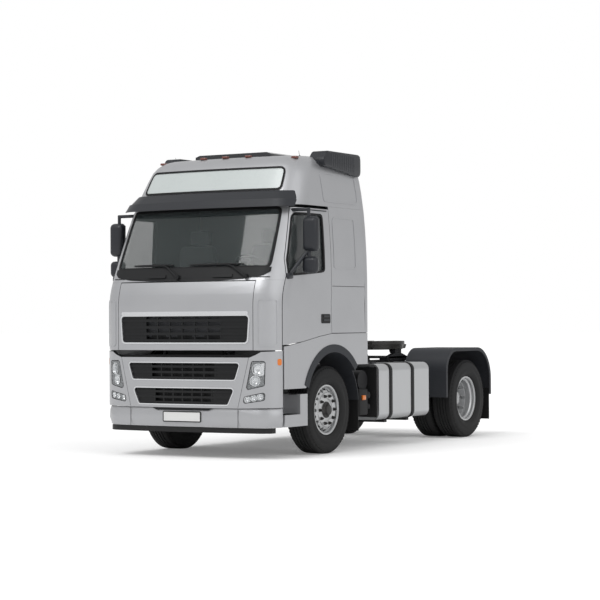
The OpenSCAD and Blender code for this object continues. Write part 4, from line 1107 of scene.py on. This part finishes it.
def front_wheel(side):
    label = "left" if side > 0 else "right"
    body = "front_wheel_" + label
    x = side * FRONT_TRACK
    face = side * (FRONT_TRACK + FRONT_FACE)
    wheel_set(body, [x], FRONT_AXLE_Y, "front_tyre_" + label, face, side)
    bm = bmesh.new()
    start = face + side * 0.001
    cap = [(0.098, 0.0), (0.098, 0.006), (0.088, 0.01), (0.072, 0.014), (0.066, 0.02),
           (0.064, 0.036), (0.058, 0.044), (0.03, 0.047), (0.0005, 0.048)]
    add_lathe(bm, cap, (start, FRONT_AXLE_Y, AXLE_Z), (side, 0, 0))
    for a in angles(5):
        place = Vector((start + side * 0.008, FRONT_AXLE_Y + 0.08 * math.cos(a),
                        AXLE_Z + 0.08 * math.sin(a)))
        add_rod(bm, place, place + Vector((side * 0.012, 0, 0)), 0.008, sides=6)
    piece(f"front_hub_{label}", bm, STEEL, body, "rim_steel")
    bm = bmesh.new()
    # Dark discs on the rim's face: painted shade standing for the hand holes through it.
    for a in angles(10, 0.5):
        spoke = Vector((0, math.cos(a), math.sin(a)))
        place = Vector((x + side * 0.081, FRONT_AXLE_Y, AXLE_Z)) + spoke * 0.242
        aim = (Vector((side * 0.55, 0, 0)) + spoke * 0.83).normalized()
        add_rod(bm, place, place + aim * 0.004, 0.021, sides=24)
    piece(f"front_hand_hole_shade_{label}", bm, BLACK, body, "rim_steel")


def rear_wheels(side):
    label = "left" if side > 0 else "right"
    face = side * TWIN_FACE
    wheel_set("rear_wheels_" + label, [face + TWIN_OFFSET, face - TWIN_OFFSET], REAR_AXLE_Y,
              "rear_tyres_" + label, face + side * 0.013, side)


# --- cab inside
def cushion(name, x, y, z, crown, tuck, material, lines=0):
    """A stuffed block: its faces crown outwards and its sides pull in between the corners."""
    bm = bmesh.new()
    size, middle = span(x, y, z)
    bmesh.ops.create_cube(bm, size=2)
    round_edges(bm, bm.edges[:], 0.22, 3)
    bmesh.ops.subdivide_edges(bm, edges=bm.edges[:], cuts=3, use_grid_fill=True)
    for v in bm.verts:
        u, w, h = v.co
        v.co.z = h * (1 - crown * (u * u + w * w) / 2 * (1 if h > 0 else 0.2))
        v.co.x = u * (1 - tuck * (1 - w * w) * abs(u) ** 3)
        v.co.y = w * (1 - tuck * (1 - u * u) * abs(w) ** 3)
        if lines and h > 0.3:
            v.co.z -= 0.06 * max(0, math.cos(u * math.pi * lines)) ** 12
    bmesh.ops.transform(bm, matrix=Matrix.Translation(middle)
                        @ Matrix.Diagonal((*(size / 2), 1)), verts=bm.verts[:])
    o = piece(name, bm, material, "cab", "seat_cloth", smooth=80)
    soft = o.modifiers.new("Subdivision", "SUBSURF")
    soft.levels = soft.render_levels = 1
    return o


def cab_inside():
    seat_y = FRONT_AXLE_Y - 0.42
    for label, x in (("right", -0.52), ("left", 0.52)):
        for name, half, y0, y1, z0, z1, crown, lines in (
                ("seat_cushion_", 0.258, -0.258, 0.22, 0.332, 0.46, 0.25, 3),
                ("seat_back_", 0.248, 0.115, 0.228, 0.462, 1.075, 0.12, 0),
                ("head_rest_", 0.138, 0.192, 0.28, 1.082, 1.255, 0.15, 0)):
            cushion(name + label, about(x, half), (seat_y + y0, seat_y + y1),
                                (FLOOR_Z + z0, FLOOR_Z + z1), crown, 0.04, SEAT_CLOTH, lines)
    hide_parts("seats")
    bed = cushion("bunk_mattress", (-1.115, 1.115), (FRONT_AXLE_Y + 0.096, CAB_BACK_Y - 0.07),
                  (FLOOR_Z + 0.521, FLOOR_Z + 0.638), 0.1, 0.01, BEDDING)
    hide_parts("mattress")

    bm = bmesh.new()
    dash_y = FRONT_AXLE_Y - 0.78
    add_box(bm, (0.28, 0.76), (dash_y - 0.02, dash_y + 0.055), (FLOOR_Z + 0.5, FLOOR_Z + 0.7),
            0.03, segments=4)
    for x in (-0.9, -0.3, 0.1, 0.92):
        add_box(bm, about(x, 0.07), (dash_y + 0.035, dash_y + 0.058),
                (FLOOR_Z + 0.53, FLOOR_Z + 0.6), 0.01)
    add_box(bm, (-0.14, 0.2), (dash_y + 0.03, dash_y + 0.062), (FLOOR_Z + 0.42, FLOOR_Z + 0.51),
            0.012)
    piece("dash_fittings", bm, BLACK, "cab", "floor_trim")
    bm = bmesh.new()
    add_box(bm, (-1.0, 1.0), (-2.26, -1.95), (2.84, 3.1), 0.03, segments=3)
    add_box(bm, (-1.04, 1.04), (-1.96, -0.75), (2.955, 2.975), 0.005)
    for k in range(3):
        add_box(bm, about(-0.62 + 0.62 * k, 0.28), (-1.955, -1.94), (2.87, 3.06), 0.006)
    piece("overhead_lockers", bm, TRIM, "cab", "floor_trim")


# --- along the chassis
def add_strap(bm, y, half, thick):
    """Adds a strap round the tank, lying on its surface."""
    loop = fillet(box_outline(0.6, 1.2, 0.343, 1.04), 0.09, 8)
    outer = grown(loop, thick)
    y0, y1 = about(y, half)
    part = bmesh.new()
    rings = [[part.verts.new((u, y, v)) for u, v in points] for y, points in
             ((y0, loop), (y0, outer), (y1, outer), (y1, loop))]
    edges = []
    for r in rings:
        edges.append([part.edges.new((a, b)) for a, b in zip(r, r[1:] + r[:1])])
    for a, b in zip(edges, edges[1:] + edges[:1]):
        bmesh.ops.bridge_loops(part, edges=a + b)
    bmesh.ops.recalc_face_normals(part, faces=part.faces[:])
    join(bm, part)


def tank_fittings():
    bm = bmesh.new()
    for y in (TANK_Y + 0.31, TANK_Y + 0.9):
        add_strap(bm, y, 0.042, 0.004)
        add_strap(bm, y, 0.022, 0.008)
    # A thin black plate over the tank's front end: painted shade for that face, which lies in
    # shadow.
    add_box(bm, (0.63, 1.17), (TANK_Y - 0.012, TANK_Y - 0.001), (0.38, 1.0), 0.006)
    piece("tank_straps_and_end_shade", bm, BLACK, "chassis", "frame_black")
    bm = bmesh.new()
    add_rod(bm, (1.02, TANK_Y + 0.16, 1.03), (1.02, TANK_Y + 0.16, 1.062), 0.055, 0.05, bevel=0.006)
    piece("tank_cap", bm, CHARCOAL, "chassis", "black_plastic")

    def battery_side(target):
        add_box(target, (1.08, 1.15), (-0.72, -0.5), (0.42, 0.74), 0.02, segments=3)
        add_rod(target, (1.09, -0.46, 0.66), (1.14, -0.46, 0.66), 0.05, 0.04, bevel=0.004)
        add_rod(target, (1.09, -0.46, 0.52), (1.14, -0.46, 0.52), 0.04, 0.03, bevel=0.004)
    twins("marker_brackets", battery_side, BLACK, "chassis", "frame_black")

    def marker(target):
        add_box(target, (1.145, 1.168), (-0.665, -0.58), (0.605, 0.665), 0.008)
    twins("chassis_markers", marker, AMBER, "chassis", "lamp_clear")


def step_treads():
    front, back = FRONT_AXLE_Y - 1.06, FRONT_AXLE_Y - 0.66

    def treads(target):
        for z in (0.506, 0.7365):
            x0 = 1.06 if z < 0.6 else 1.1
            for k in range(5):
                y = front + (back - front) * k / 5
                if z < 0.6 or y > back - 0.17:
                    add_box(target, (x0, 1.2), (y, y + 0.05), (z - 0.004, z + 0.003), 0.001)
    twins("step_treads", treads, BLACK, "chassis", "black_plastic")


def rear_end():
    """Rear crossbar with its lamp clusters, and the ribs and sockets of the cab's back wall."""
    low = FRAME_BOTTOM
    bm = bmesh.new()
    add_box(bm, (-0.6, 0.6), (REAR_BAR_Y, REAR_BAR_Y + 0.044), (low + 0.01, low + 0.09), 0.004)

    def housings(target):
        add_box(target, (0.39, 0.602), (REAR_BAR_Y + 0.045, REAR_BAR_Y + 0.1),
                (low + 0.006, low + 0.11), 0.01)
    both_sides(bm, housings)
    piece("rear_bar", bm, CHASSIS, "chassis", "frame_black", ["tail_lamps"])
    for name, material, x0, x1 in (("tail_lenses", RED, 0.4, 0.49),
                                   ("turn_lenses", AMBER, 0.495, 0.55),
                                   ("reversing_lenses", PLATE, 0.555, 0.592)):
        def lenses(target):
            add_box(target, (x0, x1), (REAR_BAR_Y + 0.098, REAR_BAR_Y + 0.116),
                    (low + 0.02, low + 0.096), 0.006)
        twins(name, lenses, material, "chassis", "lamp_red")
    bm = bmesh.new()
    raised = (CAB_BACK_Y - 0.002, CAB_BACK_Y + 0.006)
    for k in range(7):
        add_box(bm, about(-0.9 + 0.3 * k, 0.03), raised, (1.6, 2.95), 0.003)
    for z in (1.55, 3.0):
        add_box(bm, (-1.0, 1.0), raised, about(z, 0.02), 0.003)
    piece("back_wall_ribs", bm, PAINT, "cab", "silver_paint")
    bm = bmesh.new()
    add_box(bm, (-0.34, 0.34), (CAB_BACK_Y - 0.002, CAB_BACK_Y + 0.03), (1.47, 1.53), 0.006)
    for k in range(5):
        x = -0.26 + 0.13 * k
        add_rod(bm, (x, CAB_BACK_Y + 0.02, 1.5), (x, CAB_BACK_Y + 0.06, 1.5), 0.026, 0.024,
                bevel=0.003)
    piece("trailer_sockets", bm, BLACK, "cab", "black_plastic")


def coupling_details():
    """Cast skirt and ribs under the coupling plate, and its sloping ramps."""
    y, low, high = COUPLING_Y, 1.2, 1.262
    bm = bmesh.new()
    skirt = [(0.435, high), (0.468, high), (0.46, low), (0.43, 1.19), (0.435, high)]
    part = bmesh.new()
    add_lathe(part, skirt, (0, y, 0), (0, 0, 1), steps=96)
    bmesh.ops.bisect_plane(part, geom=whole(part), plane_co=(0, y + 0.28, 0),
                           plane_no=(0, 1, 0), clear_outer=True)
    bmesh.ops.holes_fill(part, edges=[e for e in part.edges if e.is_boundary])
    bmesh.ops.recalc_face_normals(part, faces=part.faces[:])
    join(bm, part)

    def ramps(target):
        add_prism(target, [(y + 0.2, 1.258), (y + 0.2, low), (y + 0.43, low), (y + 0.47, 1.258)],
                  0.215, 0.33, 0.006)
        for x in (0.16, 0.26):
            add_box(target, about(x, 0.012), (y - 0.4, y + 0.1), (1.205, high), 0.004)
    both_sides(bm, ramps)
    add_box(bm, (-0.43, 0.43), about(y, 0.05), (low, high), 0.01)
    piece("coupling_skirt", bm, STEEL, "coupling_plate", "coupling_steel")

    def pedestals(target):
        outline = [(y - 0.31, 1.04), (y + 0.31, 1.04), (y + 0.31, 1.085), (y + 0.11, 1.14),
                   (y - 0.11, 1.14), (y - 0.31, 1.085)]
        add_prism(target, outline, 0.38, 0.45, 0.006)
        for end in (-0.26, -0.14, 0.14, 0.26):
            add_rod(target, (0.45, y + end, 1.06), (0.462, y + end, 1.06), 0.016, sides=6)
    twins("coupling_pedestals", pedestals, CHASSIS, "chassis", "coupling_steel")


# --- setting
def camera():
    data = bpy.data.cameras.new("camera")
    data.lens = CAMERA_LENS
    data.sensor_width = 36
    data.clip_end = 500
    o = bpy.data.objects.new("camera", data)
    yaw, pitch, roll = (math.radians(a) for a in (CAMERA_TURN, CAMERA_RISE, CAMERA_ROLL))
    forward = Vector((-math.sin(yaw) * math.cos(pitch), math.cos(yaw) * math.cos(pitch),
                      math.sin(pitch)))
    right = Vector((math.cos(yaw), math.sin(yaw), 0))
    up = right.cross(forward)
    right, up = (math.cos(roll) * right + math.sin(roll) * up,
                 math.cos(roll) * up - math.sin(roll) * right)
    turn = Matrix((right, up, -forward)).transposed().to_4x4()
    o.matrix_world = Matrix.Translation(CAMERA_PLACE) @ turn
    bpy.context.scene.collection.objects.link(o)
    bpy.context.scene.camera = o


def setting():
    world = bpy.data.worlds.new("studio")
    world.use_nodes = True
    bpy.context.scene.world = world
    nodes, links = world.node_tree.nodes, world.node_tree.links
    back = nodes["Background"]
    back.inputs["Color"].default_value = (1, 1, 1, 1)
    rays = add_node(nodes, "LightPath")
    level = add_node(nodes, "MapRange", To_Min=0.62, To_Max=1.0)
    links.new(rays.outputs["Is Camera Ray"], level.inputs["Value"])
    links.new(level.outputs["Result"], back.inputs["Strength"])

    bm = bmesh.new()
    bmesh.ops.create_grid(bm, x_segments=1, y_segments=1, size=200)
    mesh = bpy.data.meshes.new("floor")
    bm.to_mesh(mesh)
    bm.free()
    m, nodes, links, shader = new_material("floor")
    grain = add_node(nodes, "TexNoise", Scale=0.4)
    shade = add_node(nodes, "ValToRGB")
    set_ramp(shade, (0.9, 0.9, 0.9), (0.93, 0.93, 0.93))
    links.new(add_node(nodes, "TexCoord").outputs["Object"], grain.inputs["Vector"])
    links.new(grain.outputs["Fac"], shade.inputs["Fac"])
    links.new(shade.outputs["Color"], shader.inputs["Base Color"])
    shader.inputs["Roughness"].default_value = 0.9
    shader.inputs["Specular IOR Level"].default_value = 0.0
    rays = add_node(nodes, "LightPath")
    lift = calculated(nodes, links, "MULTIPLY", rays.outputs["Is Camera Ray"], 0.16)
    links.new(lift.outputs[0], shader.inputs["Emission Strength"])
    shader.inputs["Emission Color"].default_value = (1, 1, 1, 1)
    mesh.materials.append(m)
    floor = bpy.data.objects.new("floor", mesh)
    bpy.context.scene.collection.objects.link(floor)

    for name, turn, strength, spread in (("key", (38, 6, -20), 1.35, 0.6),
                                         ("fill", (58, 0, 75), 0.55, 0.9)):
        light = bpy.data.lights.new(name, "SUN")
        light.energy = strength
        light.angle = spread
        o = bpy.data.objects.new(name, light)
        o.rotation_euler = [math.radians(a) for a in turn]
        bpy.context.scene.collection.objects.link(o)
    bpy.context.scene.view_settings.view_transform = "Standard"


camera()
setting()
recoat_frame_nodes()
cab_front()
wipers()
cab_sides()
roof()
visor()
sign()
lid()
bumper()
headlamps()
for side in (1, -1):
    door(side)
    front_wheel(side)
    rear_wheels(side)
cab_inside()
tank_fittings()
step_treads()
rear_end()
coupling_details()
